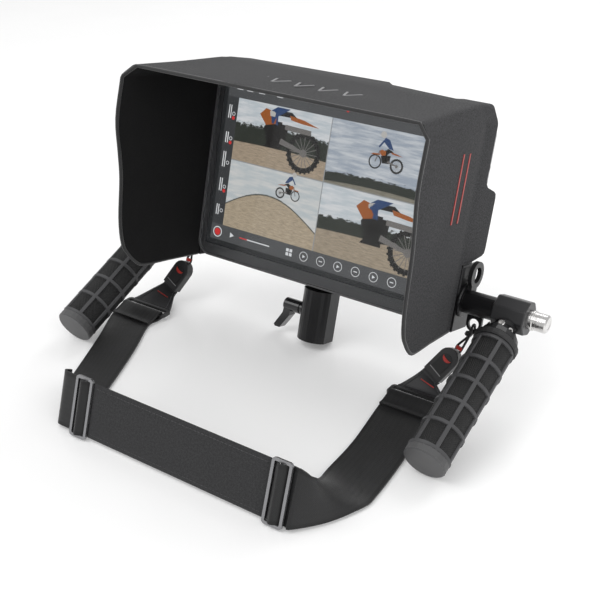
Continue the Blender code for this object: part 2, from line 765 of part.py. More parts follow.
def make_grip(kit, handle, name, side):
    """Neck, collar, sleeve over its core, and end cap, all along -Y of the handle's frame."""
    x = side * grip_centre()

    neck = [
        (0, NECK_RADIUS), (0.003, NECK_RADIUS), (0.010, COLLAR_RADIUS - 0.003), (NECK_LENGTH, COLLAR_RADIUS - 0.002)
    ]
    neck_piece = kit.piece(
        f"grip_neck_{name}", turned_mesh(neck), "anodised", handle, at(x, -neck_start()) @ TO_FRONT
    )
    screw_y = -(neck_start() + 0.0055)
    screw_z = NECK_RADIUS - 0.001
    kit.cut(
        neck_piece, cylinder_mesh(NECK_SCREW_RADIUS + GAP, 0.010, SMALL_ROUND), at(x, screw_y, screw_z + 0.005)
    )
    screw = turned_mesh(
        [(GAP, NECK_SCREW_RADIUS), (0.0032, NECK_SCREW_RADIUS), (0.0037, NECK_SCREW_RADIUS - 0.0005)],
        sides=SMALL_ROUND,
    )
    screw_piece = kit.piece(f"neck_screw_{name}", screw, "chrome", handle, at(x, screw_y, screw_z))
    kit.cut(screw_piece, cylinder_mesh(0.0015, 0.004, 6), at(x, screw_y, screw_z + 0.0042))

    bore = GRIP_CORE_RADIUS + GAP
    collar = [
        (0, COLLAR_RADIUS - 0.002), (0.0015, COLLAR_RADIUS), (COLLAR_LENGTH - 0.001, COLLAR_RADIUS),
        (COLLAR_LENGTH, COLLAR_RADIUS - 0.0008),
    ]
    kit.piece(
        f"grip_collar_{name}", turned_mesh(collar, [(0, bore), (COLLAR_LENGTH, bore)]), "collar", handle,
        at(x, -collar_start()) @ TO_FRONT,
    )
    core_length = cap_start() - collar_start() - GAP
    core_bore = GRIP_CORE_RADIUS - GRIP_CORE_WALL
    kit.piece(
        f"grip_core_{name}",
        turned_mesh([(0, GRIP_CORE_RADIUS), (core_length, GRIP_CORE_RADIUS)], [(0, core_bore), (core_length, core_bore)]),
        "plate", handle, at(x, -collar_start()) @ TO_FRONT,
    )
    kit.piece(
        f"grip_sleeve_{name}",
        turned_mesh(grip_profile(), [(0, bore), (GRIP_LENGTH, bore)]), "rubber", handle,
        at(x, -sleeve_start()) @ TO_FRONT,
    )
    cap = [(0, CAP_RADIUS), (CAP_LENGTH - CAP_EDGE, CAP_RADIUS), (CAP_LENGTH, CAP_RADIUS - CAP_EDGE)]
    kit.piece(f"grip_end_cap_{name}", turned_mesh(cap), "cap", handle, at(x, -cap_start()) @ TO_FRONT)


def make_handles(kit):
    y, z = arm_axis_place()
    for name, side, turn in (("left", -1, TO_LEFT), ("right", 1, TO_RIGHT)):
        handle = kit.frame(f"handle_axis_{name}", (0.0, y, z), grip_slope())
        make_joint(kit, handle, name, side, turn)
        make_grip(kit, handle, name, side)


# Stand receiver under the screen


def make_receiver(kit, screen):
    top = -(GAP + CAGE_THICKNESS + GAP)
    half_turn = acos(POST_FLAT / POST_RADIUS)
    outline = (
        arc(0, 0, POST_RADIUS, half_turn, pi - half_turn, 12) + arc(0, 0, POST_RADIUS, pi + half_turn, -half_turn + 2 * pi, 12)
    )
    post = kit.piece(
        "receiver_post", outline_mesh([outline], POST_LENGTH), "anodised", screen,
        at(0, POST_DEPTH, top - POST_LENGTH / 2),
    )
    kit.cut(post, cylinder_mesh(BORE_RADIUS, 2 * BORE_LENGTH), at(0, POST_DEPTH, top - POST_LENGTH))
    clamp_z = top - CLAMP_DROP
    screw_hole = CLAMP_SCREW_RADIUS + GAP
    kit.cut(
        post, cylinder_mesh(screw_hole, POST_RADIUS, SMALL_ROUND),
        at(-POST_RADIUS / 2 - 0.003, POST_DEPTH, clamp_z) @ TO_LEFT,
    )
    pad_start = BORE_RADIUS + GAP
    kit.piece(
        "clamp_pad", cylinder_mesh(CLAMP_SCREW_RADIUS - 0.0002, CLAMP_PAD_LENGTH, SMALL_ROUND), "nylon", screen,
        at(-pad_start - CLAMP_PAD_LENGTH / 2, POST_DEPTH, clamp_z) @ TO_LEFT,
    )
    make_clamp_lever(kit, screen, pad_start + CLAMP_PAD_LENGTH + GAP, clamp_z)


def make_clamp_lever(kit, screen, screw_start, clamp_z):
    hub_start = POST_FLAT + LEVER_STANDOFF
    screw_end = hub_start + LEVER_HUB_LENGTH - 0.004
    screw_length = screw_end - screw_start
    kit.piece(
        "clamp_screw", cylinder_mesh(CLAMP_SCREW_RADIUS, screw_length, SMALL_ROUND), "plate", screen,
        at(-screw_start - screw_length / 2, POST_DEPTH, clamp_z) @ TO_LEFT,
    )
    hub = turned_mesh(
        [(0, LEVER_HUB_RADIUS - 0.0008), (0.003, LEVER_HUB_RADIUS - 0.0008), (0.0035, LEVER_HUB_RADIUS),
         (LEVER_HUB_LENGTH - 0.0008, LEVER_HUB_RADIUS), (LEVER_HUB_LENGTH, LEVER_HUB_RADIUS - 0.0008)],
        sides=20,
    )
    lever = kit.piece("wing_lever", hub, "lever", screen, at(-hub_start, POST_DEPTH, clamp_z) @ TO_LEFT)
    root = hub_start + LEVER_HUB_LENGTH - LEVER_THICKNESS - 0.0015
    tip = root + LEVER_SPREAD
    blade = [
        (-root, 0.001), (-root - LEVER_THICKNESS, 0.001), (-root - LEVER_THICKNESS - 0.001, -0.35 * LEVER_REACH),
        (-tip - LEVER_THICKNESS, -0.92 * LEVER_REACH), (-tip - LEVER_THICKNESS + 0.0012, -LEVER_REACH),
        (-tip, -LEVER_REACH), (-root, -0.40 * LEVER_REACH),
    ]
    kit.join(lever, outline_mesh([blade], LEVER_WIDTH), at(0, POST_DEPTH, clamp_z) @ TO_FRONT)
    hole_length = screw_end - hub_start + GAP
    kit.cut(
        lever, cylinder_mesh(CLAMP_SCREW_RADIUS + GAP, 2 * hole_length, SMALL_ROUND),
        at(-hub_start, POST_DEPTH, clamp_z) @ TO_LEFT,
    )


# Sun hood: five stiffened panels, each with a skirt that wraps the monitor behind the crease at the screen's face


def hood_wall():
    """The outer face of a hood side, from the middle, behind the crease."""
    return SCREEN_WIDTH / 2 + HOOD_SIDE_CLEARANCE + HOOD_THICKNESS


def hood_roof_top():
    return SCREEN_HEIGHT + GAP + HOOD_THICKNESS


def hood_corners():
    """For the front edge and for the crease: roof edge (x, y, z), then side edge (x, y, z), on the right."""
    front_wall = hood_wall() + HOOD_FLARE
    front = (
        (front_wall - HOOD_FRONT_ROOF_INSET, HOOD_ROOF_SETBACK - HOOD_DEPTH, hood_roof_top() - HOOD_FRONT_ROOF_DROP),
        (front_wall, 0.001 - HOOD_DEPTH, hood_roof_top() - HOOD_FRONT_SIDE_DROP),
    )
    crease = (
        (SCREEN_WIDTH / 2 - HOOD_ROOF_INSET, 0.0, hood_roof_top()),
        (hood_wall(), 0.0, hood_roof_top() - HOOD_SIDE_DROP),
    )
    return front, crease


def make_hood(kit, screen):
    make_hood_roof(kit, screen)
    for name, side in (("left", -1), ("right", 1)):
        make_hood_side(kit, screen, name, side)
        make_hood_corner(kit, screen, name, side)


def creased_panel(outline, height, drop, depth):
    """A flat outline (x, y) at a height, split at the crease, whose front falls by a drop over a depth."""
    shape = bmesh.new()
    shape.faces.new([shape.verts.new((x, y, height)) for x, y in outline])
    split_at_crease(shape)
    for vert in shape.verts:
        vert.co.z -= drop * max(0.0, -vert.co.y) / depth
    return shape


def split_at_crease(shape):
    bmesh.ops.bisect_plane(
        shape, geom=shape.verts[:] + shape.edges[:] + shape.faces[:], plane_co=(0, 0, 0), plane_no=(0, 1, 0)
    )


def make_hood_roof(kit, screen):
    """The roof; its rear edge runs back over the housing on the left and forward again on the right."""
    front, crease = hood_corners()
    trim = 0.0004
    wide, narrow = front[0][0] - trim, crease[0][0] - trim
    back = HOUSING_DEPTH
    outline = [
        (-wide, front[0][1]), (wide, front[0][1]), (narrow, 0.0), (narrow, 0.67 * back), (0.80 * narrow, 0.67 * back),
        (0.80 * narrow, 0.17 * back), (0.23 * narrow, 0.97 * back), (0.07 * narrow, 1.93 * back),
        (-narrow, 1.13 * back), (-narrow, 0.0),
    ]
    roof = creased_panel(outline, hood_roof_top(), HOOD_FRONT_ROOF_DROP, -front[0][1])
    mesh = thickened_mesh(roof, HOOD_THICKNESS, -1)
    for vertex in mesh.vertices:
        top = hood_roof_top() - HOOD_FRONT_ROOF_DROP * max(0.0, -vertex.co.y) / -front[0][1]
        if vertex.co.z < top - HOOD_THICKNESS / 2 and abs(vertex.co.x) > 0.95 * narrow:
            vertex.co.x *= 1 - HOOD_MITRE / abs(vertex.co.x)
    kit.piece("hood_roof", mesh, "hood", screen)


def corner_section(side, roof, wall, y=None):
    """Four points of the strip's section: the outer face from roof to side, then the inner face back."""
    upper, lower = Vector(roof), Vector(wall)
    if y is not None:
        upper.y = lower.y = y
    across = Vector((lower.x - upper.x, 0.0, lower.z - upper.z)).normalized()
    inward = Vector((across.z, 0.0, -across.x)) * HOOD_THICKNESS
    points = [
        upper + 0.0006 * across, lower - 0.0006 * across, lower - 0.0010 * across + inward,
        upper + (0.0006 + HOOD_MITRE) * across + inward,
    ]
    return [Vector((side * point.x, point.y, point.z)) for point in points]


def make_hood_corner(kit, screen, name, side):
    """The bevelled strip between the roof and a side."""
    front, crease = hood_corners()
    shape = bmesh.new()
    sections = [
        corner_section(side, *front), corner_section(side, *crease, 0.0), corner_section(side, *crease, HOOD_SKIRT)
    ]
    rings = [[shape.verts.new(point) for point in section] for section in sections]
    for near, far in zip(rings, rings[1:]):
        for i in range(4):
            j = (i + 1) % 4
            shape.faces.new((near[i], near[j], far[j], far[i]))
    shape.faces.new(rings[0])
    shape.faces.new(rings[-1])
    bmesh.ops.recalc_face_normals(shape, faces=shape.faces)
    kit.piece(f"hood_corner_{name}", finished_mesh(shape), "hood", screen)


def hood_side_outline():
    """The outline in (y, z): the front edge, the lower edge, then the flap behind the crease."""
    front, crease = hood_corners()
    edge = [Vector((-y * HOOD_DEPTH, z * SCREEN_HEIGHT, 0.0)) for y, z in HOOD_EDGE]
    top = crease[1][2] - 0.0009
    return [(point.x, point.y) for point in smooth_route(edge, 2)] + [
        (HOOD_BRACKET_LINE, -0.0025), (HOOD_BRACKET_LINE, HOOD_BRACKET_TOP), (0.5 * HOOD_FLAP, HOOD_BRACKET_TOP),
        (HOOD_FLAP, HOOD_BRACKET_TOP + 0.0035), (HOOD_FLAP, HOOD_FLAP_TOP), (HOOD_SKIRT, HOOD_FLAP_TOP + 0.006),
        (HOOD_SKIRT, top), (0.0, top), (front[1][1], front[1][2] - 0.0014),
    ]


def make_hood_side(kit, screen, name, side):
    """A flat panel, split at the crease, whose front flares outwards."""
    shape = bmesh.new()
    outline = [shape.verts.new((side * hood_wall(), y, z)) for y, z in hood_side_outline()]
    face = shape.faces.new(outline)
    face.normal_update()
    if side * face.normal.x < 0:
        face.normal_flip()
    split_at_crease(shape)
    for vert in shape.verts:
        vert.co.x += side * HOOD_FLARE * max(0.0, -vert.co.y) / HOOD_DEPTH
    kit.piece(f"hood_side_{name}", thickened_mesh(shape, HOOD_THICKNESS, -1), "hood", screen)


# Strap: a padded band that stands on edge, two runs of webbing, sliders, loops and quick connectors


def band_point(x, up, out=0.0):
    """A point of the standing band: up along its width, out from its middle towards the front."""
    return Vector((
        x,
        BAND_Y + up * sin(BAND_LEAN) - out * cos(BAND_LEAN),
        FLOOR_CLEARANCE + SLIDER_BAR + GAP + up * cos(BAND_LEAN) + out * sin(BAND_LEAN),
    ))


def band_frame(x, up, out=0.0):
    """X along the band, Y up its width, Z towards the front."""
    return Matrix.Translation(band_point(x, up, out)) @ Matrix.Rotation(pi / 2 - BAND_LEAN, 4, "X")


def make_band(kit, ground):
    kit.piece(
        "strap_pad", box_mesh((PAD_LENGTH, WEBBING_WIDTH, PAD_THICKNESS), 0.0006), "pad", ground,
        band_frame(PAD_LEFT_END + PAD_LENGTH / 2, WEBBING_WIDTH / 2, -0.5 * PAD_THICKNESS),
    )
    height = WEBBING_WIDTH + 2 * (SLIDER_BAR + GAP)
    for name, x in (
        ("left", PAD_LEFT_END - GAP - SLIDER_WIDTH / 2), ("right", PAD_LEFT_END + PAD_LENGTH + GAP + SLIDER_WIDTH / 2)
    ):
        window = (SLIDER_WIDTH - 3 * SLIDER_BAR) / 2
        holes = [
            [(px + shift, py) for px, py in rounded_rectangle(window, height - 2 * SLIDER_BAR, 0.0008, 2)]
            for shift in (-(window + SLIDER_BAR) / 2, (window + SLIDER_BAR) / 2)
        ]
        outline = rounded_rectangle(SLIDER_WIDTH, height, 0.0025, 3)
        kit.piece(
            f"strap_slider_{name}", outline_mesh([outline, *holes], SLIDER_THICKNESS), "slider", ground,
            band_frame(x, WEBBING_WIDTH / 2),
        )


def weave_edges(slider_x, away):
    """Lower and upper edge points where the webbing passes behind, over and behind the slider's bars."""
    step = SLIDER_WIDTH / 2
    over = SLIDER_THICKNESS / 2 + WEBBING_THICKNESS / 2 + GAP + 0.0004
    stations = [
        (-step, -over), (-0.72 * step, -over), (-0.16 * step, over), (0.16 * step, over), (0.72 * step, -over),
        (step + 0.002, -over), (step + 0.005, -over),
    ]
    lower = [band_point(slider_x + away * x, 0.0, out) for x, out in stations]
    upper = [band_point(slider_x + away * x, WEBBING_WIDTH, out) for x, out in stations]
    return lower, upper


def loop_wrap(x, y):
    """Points where the webbing passes under the loop's front bar, back over it, and ends on itself."""
    flat = FLOOR_CLEARANCE + WEBBING_THICKNESS / 2
    bar = FLOOR_CLEARANCE + LOOP_LIFT + LOOP_THICKNESS / 2
    bar_y = y - LOOP_LENGTH / 2 + LOOP_BAR / 2
    reach = bar + LOOP_THICKNESS / 2 + WEBBING_THICKNESS / 2 + 0.0006
    side = bar_y + LOOP_BAR / 2 + WEBBING_THICKNESS / 2 + 0.0005
    stations = [
        (bar_y - 0.0160, flat), (bar_y - 0.0040, flat), (bar_y + 0.0012, flat), (side - 0.0003, flat + 0.0009),
        (side, bar), (side - 0.0001, bar + 0.0016), (bar_y + 0.0017, reach - 0.0002), (bar_y, reach),
        (bar_y - 0.0040, reach - 0.0010), (bar_y - 0.0110, flat + WEBBING_THICKNESS + 0.0006),
        (bar_y - 0.0160, flat + WEBBING_THICKNESS + 0.0006),
    ]
    return [Vector((x, along, height)) for along, height in stations]


def make_webbing(kit, ground):
    """Each run leaves its slider on edge, twists flat on the floor and wraps its loop."""
    flat = FLOOR_CLEARANCE + WEBBING_THICKNESS / 2
    half = WEBBING_WIDTH / 2
    right_x = PAD_LEFT_END + PAD_LENGTH + GAP + SLIDER_WIDTH / 2
    lower, upper = weave_edges(right_x, 1)
    loop = STRAP_ENDS["right"][0]
    outer = lower + [
        Vector((0.1370, -0.1815, flat)), Vector((0.1480, -0.1560, flat)), Vector((0.1485, -0.1400, flat)),
        Vector((0.1440, -0.1000, flat)), *loop_wrap(loop.x + half, loop.y),
    ]
    inner = upper + [
        Vector((0.1270, -0.1850, 0.0345)), Vector((0.1180, -0.1650, 0.0170)), Vector((0.1085, -0.1400, 0.0050)),
        Vector((0.1030, -0.0980, flat)), *loop_wrap(loop.x - half, loop.y),
    ]
    kit.piece("strap_webbing_right", ribbon_mesh(inner, outer, WEBBING_THICKNESS, 3), "webbing", ground)

    left_x = PAD_LEFT_END - GAP - SLIDER_WIDTH / 2
    lower, upper = weave_edges(left_x, -1)
    loop = STRAP_ENDS["left"][0]
    fold = left_x - 0.0240
    outer = upper + [
        band_point(fold + 0.003, WEBBING_WIDTH, -0.0026), band_point(fold, WEBBING_WIDTH, -0.0050),
        band_point(fold + 0.002, WEBBING_WIDTH, -0.0080), Vector((-0.0960, -0.1790, 0.0330)),
        Vector((-0.1130, -0.1640, 0.0120)), Vector((-0.1300, -0.1430, flat)),
        Vector((-0.1540, -0.0920, flat)), *loop_wrap(loop.x - half, loop.y),
    ]
    inner = lower + [
        band_point(fold + 0.003, 0.0, -0.0026), band_point(fold, 0.0, -0.0050),
        band_point(fold + 0.002, 0.0, -0.0080), Vector((-0.0830, -0.1900, flat + 0.0008)),
        Vector((-0.0830, -0.1720, flat)), Vector((-0.0910, -0.1460, flat)),
        Vector((-0.1140, -0.0920, flat)), *loop_wrap(loop.x + half, loop.y),
    ]
    kit.piece("strap_webbing_left", ribbon_mesh(inner, outer, WEBBING_THICKNESS, 3), "webbing", ground)


def make_strap_end(kit, ground, screen_place, name, side):
    """Loop, leather tab, quick connector and the doubled cord through the strap eye."""
    slot, foot, head = STRAP_ENDS[name]
    outline = rounded_rectangle(LOOP_WIDTH, LOOP_LENGTH, 0.003, 3)
    window = rounded_rectangle(LOOP_WIDTH - 2 * LOOP_BAR, LOOP_LENGTH - 2 * LOOP_BAR, 0.001, 2)
    kit.piece(
        f"strap_loop_{name}", outline_mesh([outline, window], LOOP_THICKNESS), "nylon", ground,
        at(slot.x, slot.y, FLOOR_CLEARANCE + LOOP_LIFT + LOOP_THICKNESS / 2),
    )
    along = (head - foot).normalized()
    pod_frame = aligned(foot, along, Vector((1.0, 0.0, 0.0)))
    tab_start = Vector((slot.x, slot.y + LOOP_LENGTH / 2 + 2 * GAP, FLOOR_CLEARANCE + LOOP_LIFT + LOOP_THICKNESS / 2))
    tab_end = foot - along * 2 * GAP
    pod_across = pod_frame.to_3x3() @ Vector((1, 0, 0))
    left_edge, right_edge = [], []
    for middle, width, turn in (
        (tab_start, WEBBING_WIDTH, 0.0), (tab_start + Vector((0, 0.003, 0)), 0.96 * WEBBING_WIDTH, 0.0),
        (tab_start.lerp(tab_end, 0.6) - Vector((0, 0, 0.0012)), 0.62 * WEBBING_WIDTH, 0.5),
        (tab_end - along * 0.003, TAB_NARROW, 1.0), (tab_end, TAB_NARROW, 1.0),
    ):
        half_across = Vector((1.0, 0.0, 0.0)).lerp(pod_across, turn) * width / 2
        left_edge.append(middle - half_across)
        right_edge.append(middle + half_across)
    kit.piece(f"strap_tab_{name}", ribbon_mesh(left_edge, right_edge, TAB_THICKNESS, 2), "leather", ground)

    width, length, thickness = POD_SIZE
    outline = (
        [(-width / 2, 0.0), (width / 2, 0.0), (width / 2, length - width / 2)]
        + arc(0, length - width / 2, width / 2, 0.2, pi - 0.2, 8) + [(-width / 2, length - width / 2)]
    )
    pod = kit.piece(
        f"quick_connector_{name}", outline_mesh([outline], thickness), "nylon", ground,
        pod_frame,
    )
    edge = pod.modifiers.new("edge", "BEVEL")
    edge.width = 0.0010
    edge.segments = 1

    eye = screen_place @ Vector((
        side * (SCREEN_WIDTH / 2 + 2 * GAP + BRACKET_THICKNESS + FLANGE_THICKNESS + STRAP_EYE_OFFSET),
        ARM_DEPTH, strap_eye_centre() - STRAP_EYE_HOLE + CORD_RADIUS + 5 * GAP,
    ))
    top = pod_frame @ Vector((0.0, length + GAP, 0.0))
    start = pod_frame.to_3x3() @ Vector((0.0022, 0.0, 0.0))
    lead = (top - eye).normalized() * 0.004
    route = [top + start, top + start - lead]
    for y, z in ((-3.1, -5.5), (-3.1, -2.5), (-1.6, 0.6), (1.6, 0.6), (3.1, -2.5), (3.1, -5.5)):
        route.append(eye + screen_place.to_3x3() @ Vector((0.0, y, z)) / 1000)
    route += [top - start - lead, top - start]
    kit.piece(f"connector_cord_{name}", tube_mesh(smooth_route(route, 3), CORD_RADIUS), "cord", ground)


# Whole object


def clear_scene():
    for item in list(bpy.data.objects):
        bpy.data.objects.remove(item)


def centre_on_floor(kit):
    """Moves the top frames so that the bounding box stands on the origin, centred in X and Y."""
    bpy.context.view_layer.update()
    graph = bpy.context.evaluated_depsgraph_get()
    low, high = Vector((1e9,) * 3), Vector((-1e9,) * 3)
    for piece in kit.parts.objects:
        if piece.type != "MESH":
            continue
        evaluated = piece.evaluated_get(graph)
        mesh = evaluated.to_mesh()
        for vertex in mesh.vertices:
            place = evaluated.matrix_world @ vertex.co
            low = Vector(map(min, low, place))
            high = Vector(map(max, high, place))
        evaluated.to_mesh_clear()
    shift = Vector((-(low.x + high.x) / 2, -(low.y + high.y) / 2, -low.z))
    for frame in kit.frames:
        frame.location += shift


def main():
    clear_scene()
    kit = Assembly()
    screen = kit.frame("screen_frame", (0.0, 0.0, screen_base_height()), -TILT)
    ground = kit.frame("ground_frame", (0.0, 0.0, 0.0))
    screen_place = Matrix.Translation(screen.location) @ Matrix.Rotation(-TILT, 4, "X")
    make_bezel(kit, screen)
    make_display(kit, screen)
    make_housing(kit, screen)
    make_cage(kit, screen)
    make_arms(kit, screen)
    make_handles(kit)
    make_receiver(kit, screen)
    make_hood(kit, screen)
    make_band(kit, ground)
    make_webbing(kit, ground)
    make_strap_end(kit, ground, screen_place, "left", -1)
    make_strap_end(kit, ground, screen_place, "right", 1)
    centre_on_floor(kit)


main()
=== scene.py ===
"""The finished look of a director's monitor kit.

Its screen, sun hood, grips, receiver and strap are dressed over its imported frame, in metres.
"""
import logging
from contextlib import contextmanager
from dataclasses import dataclass, field
from enum import Enum
from math import atan2, cos, hypot, pi, radians, sin
from typing import Callable, Iterator, Sequence

import bmesh
import bpy
from mathutils import Matrix, Vector, noise


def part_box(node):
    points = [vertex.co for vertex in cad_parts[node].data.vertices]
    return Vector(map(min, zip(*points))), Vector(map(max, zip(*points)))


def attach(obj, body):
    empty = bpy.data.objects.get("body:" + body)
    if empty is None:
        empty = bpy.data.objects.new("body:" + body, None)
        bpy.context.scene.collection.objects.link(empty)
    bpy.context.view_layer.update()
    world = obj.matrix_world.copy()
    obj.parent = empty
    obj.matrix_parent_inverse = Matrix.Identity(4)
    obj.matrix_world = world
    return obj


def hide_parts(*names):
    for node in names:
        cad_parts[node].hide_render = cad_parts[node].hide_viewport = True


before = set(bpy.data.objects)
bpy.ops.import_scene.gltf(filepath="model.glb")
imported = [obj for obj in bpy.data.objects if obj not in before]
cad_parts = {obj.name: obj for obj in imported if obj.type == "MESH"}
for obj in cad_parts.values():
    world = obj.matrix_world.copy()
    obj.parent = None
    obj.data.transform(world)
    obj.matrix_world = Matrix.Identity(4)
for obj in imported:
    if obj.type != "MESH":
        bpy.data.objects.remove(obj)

log = logging.getLogger("monitor_kit")
Point = tuple[float, float]


class Slot(str, Enum):
    """The record's material slots."""

    BEZEL = "bezel"
    GLASS = "glass"
    DISPLAY = "display"
    PLATE = "plate"
    BOARD = "board"
    HOUSING = "housing"
    ANODISED = "anodised"
    CHROME = "chrome"
    RUBBER = "rubber"
    COLLAR = "collar"
    CAP = "cap"
    LEVER = "lever"
    HOOD = "hood"
    WEBBING = "webbing"
    PAD = "pad"
    SLIDER = "slider"
    NYLON = "nylon"
    LEATHER = "leather"
    CORD = "cord"


class Side(Enum):
    LEFT = -1
    RIGHT = 1

    @property
    def tag(self) -> str:
        """The side's name in piece and body names."""
        return self.name.lower()


# Shader building


class Board:
    """A node tree that is laid out by method calls."""

    def __init__(self, tree: bpy.types.NodeTree) -> None:
        """Starts on a node tree."""
        self.tree = tree

    def add(self, kind: str, inputs: dict | None = None, **settings: object) -> bpy.types.Node:
        """Adds a node.

        Args:
            kind: The node's type, without the ShaderNode prefix.
            inputs: Input name or number to a number or a socket.
            settings: Attributes of the node.

        Returns:
            The new node.
        """
        node = self.tree.nodes.new("ShaderNode" + kind)
        for key, value in settings.items():
            setattr(node, key, value)
        for key, value in (inputs or {}).items():
            self.feed(node.inputs[key], value)
        return node

    def feed(self, target: bpy.types.NodeSocket, value: object) -> None:
        """Links a socket into the target, or sets the target to a number or colour."""
        if isinstance(value, bpy.types.NodeSocket):
            self.tree.links.new(value, target)
        else:
            target.default_value = value

    def math(self, operation: str, *values: object, clamp: bool = False) -> bpy.types.NodeSocket:
        """One step of arithmetic on one to three values."""
        node = self.add("Math", dict(enumerate(values)), operation=operation, use_clamp=clamp)
        return node.outputs[0]

    def mix(self, factor: object, first: object, second: object) -> bpy.types.NodeSocket:
        """A mix of two colours."""
        return self.add("Mix", {0: factor, 6: first, 7: second}, data_type="RGBA").outputs[2]

    def spread(
        self, value: object, low: float, high: float, to_low: float = 0.0, to_high: float = 1.0,
    ) -> bpy.types.NodeSocket:
        """A value's range stretched, smoothly, onto another."""
        names = {"Value": value, "From Min": low, "From Max": high, "To Min": to_low, "To Max": to_high}
        return self.add("MapRange", names, interpolation_type="SMOOTHSTEP").outputs[0]

    def noise(
        self, vector: object, scale: float, detail: float = 2.0, roughness: float = 0.5,
    ) -> bpy.types.NodeSocket:
        """Fractal noise from 0 to 1."""
        names = {"Vector": vector, "Scale": scale, "Detail": detail, "Roughness": roughness}
        return self.add("TexNoise", names).outputs[0]

    def bump(
        self, height: object, strength: float, distance: float, normal: object = None,
    ) -> bpy.types.NodeSocket:
        """A normal from a height."""
        names = {"Height": height, "Strength": strength, "Distance": distance}
        if normal is not None:
            names["Normal"] = normal
        return self.add("Bump", names).outputs[0]

    def place(self) -> bpy.types.NodeSocket:
        """Object coordinates, in metres."""
        return self.add("TexCoord").outputs["Object"]

    def surface(self) -> bpy.types.NodeSocket:
        """The piece's own UV map."""
        return self.add("TexCoord").outputs["UV"]

    def group(self, tree: bpy.types.NodeTree, **inputs: object) -> bpy.types.Node:
        """Places a shared effect with its own values."""
        node = self.tree.nodes.new("ShaderNodeGroup")
        node.node_tree = tree
        for key, value in inputs.items():
            self.feed(node.inputs[key.replace("_", " ")], value)
        return node


def new_group(
    name: str, inputs: Sequence[str], outputs: Sequence[str],
) -> tuple[Board, bpy.types.Node, bpy.types.Node]:
    """Starts a shared effect.

    Args:
        name: The effect's name.
        inputs: Its inputs; Vector is a place, and every other is a number.
        outputs: Its outputs, all numbers.

    Returns:
        Its board, its input node and its output node.
    """
    tree = bpy.data.node_groups.new(name, "ShaderNodeTree")
    for label in inputs:
        kind = "NodeSocketVector" if label == "Vector" else "NodeSocketFloat"
        tree.interface.new_socket(label, in_out="INPUT", socket_type=kind)
    for label in outputs:
        tree.interface.new_socket(label, in_out="OUTPUT", socket_type="NodeSocketFloat")
    return Board(tree), tree.nodes.new("NodeGroupInput"), tree.nodes.new("NodeGroupOutput")


class Effects:
    """The surface effects that several finishes share."""

    def __init__(self) -> None:
        """Builds each effect once."""
        self.grain = self._grain()
        self.weave = self._weave()
        self.wear = self._wear()
        self.smudge = self._smudge()
        self.knurl = self._knurl()

    def _grain(self) -> bpy.types.NodeTree:
        """Moulded or blasted grain: a fine height and a soft cloud of shade."""
        board, given, made = new_group("surface_grain", ("Vector", "Scale"), ("Height", "Cloud"))
        fine = board.add("TexNoise", {"Vector": given.outputs[0], "Scale": given.outputs[1], "Detail": 3.0})
        broad = board.add("TexNoise", {"Vector": given.outputs[0], "Scale": 45.0, "Detail": 3.0})
        board.feed(made.inputs[0], fine.outputs[0])
        board.feed(made.inputs[1], broad.outputs[0])
        return board.tree

    def _weave(self) -> bpy.types.NodeTree:
        """Plain weave: threads over and under, and the fleck of mixed yarn."""
        board, given, made = new_group("thread_weave", ("Vector", "Pitch", "Fleck"), ("Height", "Shade"))
        parts = board.add("SeparateXYZ", {0: given.outputs[0]}).outputs
        turn = board.math("DIVIDE", 2 * pi, given.outputs[1])
        across = board.math("SINE", board.math("MULTIPLY", parts[0], turn))
        along = board.math("SINE", board.math("MULTIPLY", parts[1], turn))
        height = board.math("MULTIPLY_ADD", board.math("MULTIPLY", across, along), 0.5, 0.5)
        yarn = board.noise(given.outputs[0], 1500.0, 2.0, 0.6)
        cloud = board.noise(given.outputs[0], 640.0, 3.0, 0.7)
        fleck = board.math("ADD", board.spread(yarn, 0.35, 0.7), board.spread(cloud, 0.32, 0.68, -0.5, 0.5))
        shade = board.math("MULTIPLY_ADD", board.math("SUBTRACT", fleck, 0.5), given.outputs[2], 0.5)
        board.feed(made.inputs[0], height)
        board.feed(made.inputs[1], shade)
        return board.tree

    def _wear(self) -> bpy.types.NodeTree:
        """Edge colour mask, for rubbed wear on most finishes and painted shade along the barrel's facet
        edges: where the rounded normal leaves the flat one, broken up by noise.
        """
        board, given, made = new_group("edge_wear_and_shade", ("Vector", "Amount"), ("Mask",))
        rounded = board.add("Bevel", {"Radius": 0.0006}, samples=4).outputs[0]
        flat = board.add("NewGeometry").outputs["Normal"]
        agreement = board.add("VectorMath", {0: rounded, 1: flat}, operation="DOT_PRODUCT").outputs["Value"]
        edge = board.spread(agreement, 0.995, 0.90)
        broken = board.spread(board.noise(given.outputs[0], 420.0, 4.0, 0.7), 0.42, 0.62)
        board.feed(
            made.inputs[0], board.math("MULTIPLY", board.math("MULTIPLY", edge, broken), given.outputs[1]),
        )
        return board.tree

    def _smudge(self) -> bpy.types.NodeTree:
        """Handling marks that vary the gloss around a level."""
        board, given, made = new_group("handling_marks", ("Vector", "Level", "Amount"), ("Roughness",))
        broad = board.noise(given.outputs[0], 70.0, 4.0, 0.6)
        shift = board.math("MULTIPLY", board.math("SUBTRACT", broad, 0.5), given.outputs[2])
        board.feed(made.inputs[0], board.math("ADD", given.outputs[1], shift, clamp=True))
        return board.tree

    def _knurl(self) -> bpy.types.NodeTree:
        """Small pyramids between two sets of crossing grooves."""
        board, given, made = new_group("pyramid_knurl", ("Vector", "Pitch"), ("Height",))
        parts = board.add("SeparateXYZ", {0: given.outputs[0]}).outputs
        sides = []
        for operation in ("ADD", "SUBTRACT"):
            slant = board.math("DIVIDE", board.math(operation, parts[0], parts[1]), given.outputs[1])
            sides.append(board.math("PINGPONG", slant, 0.5))
        board.feed(made.inputs[0], board.math("MULTIPLY", board.math("MINIMUM", *sides), 2.0))
        return board.tree


# Finishes


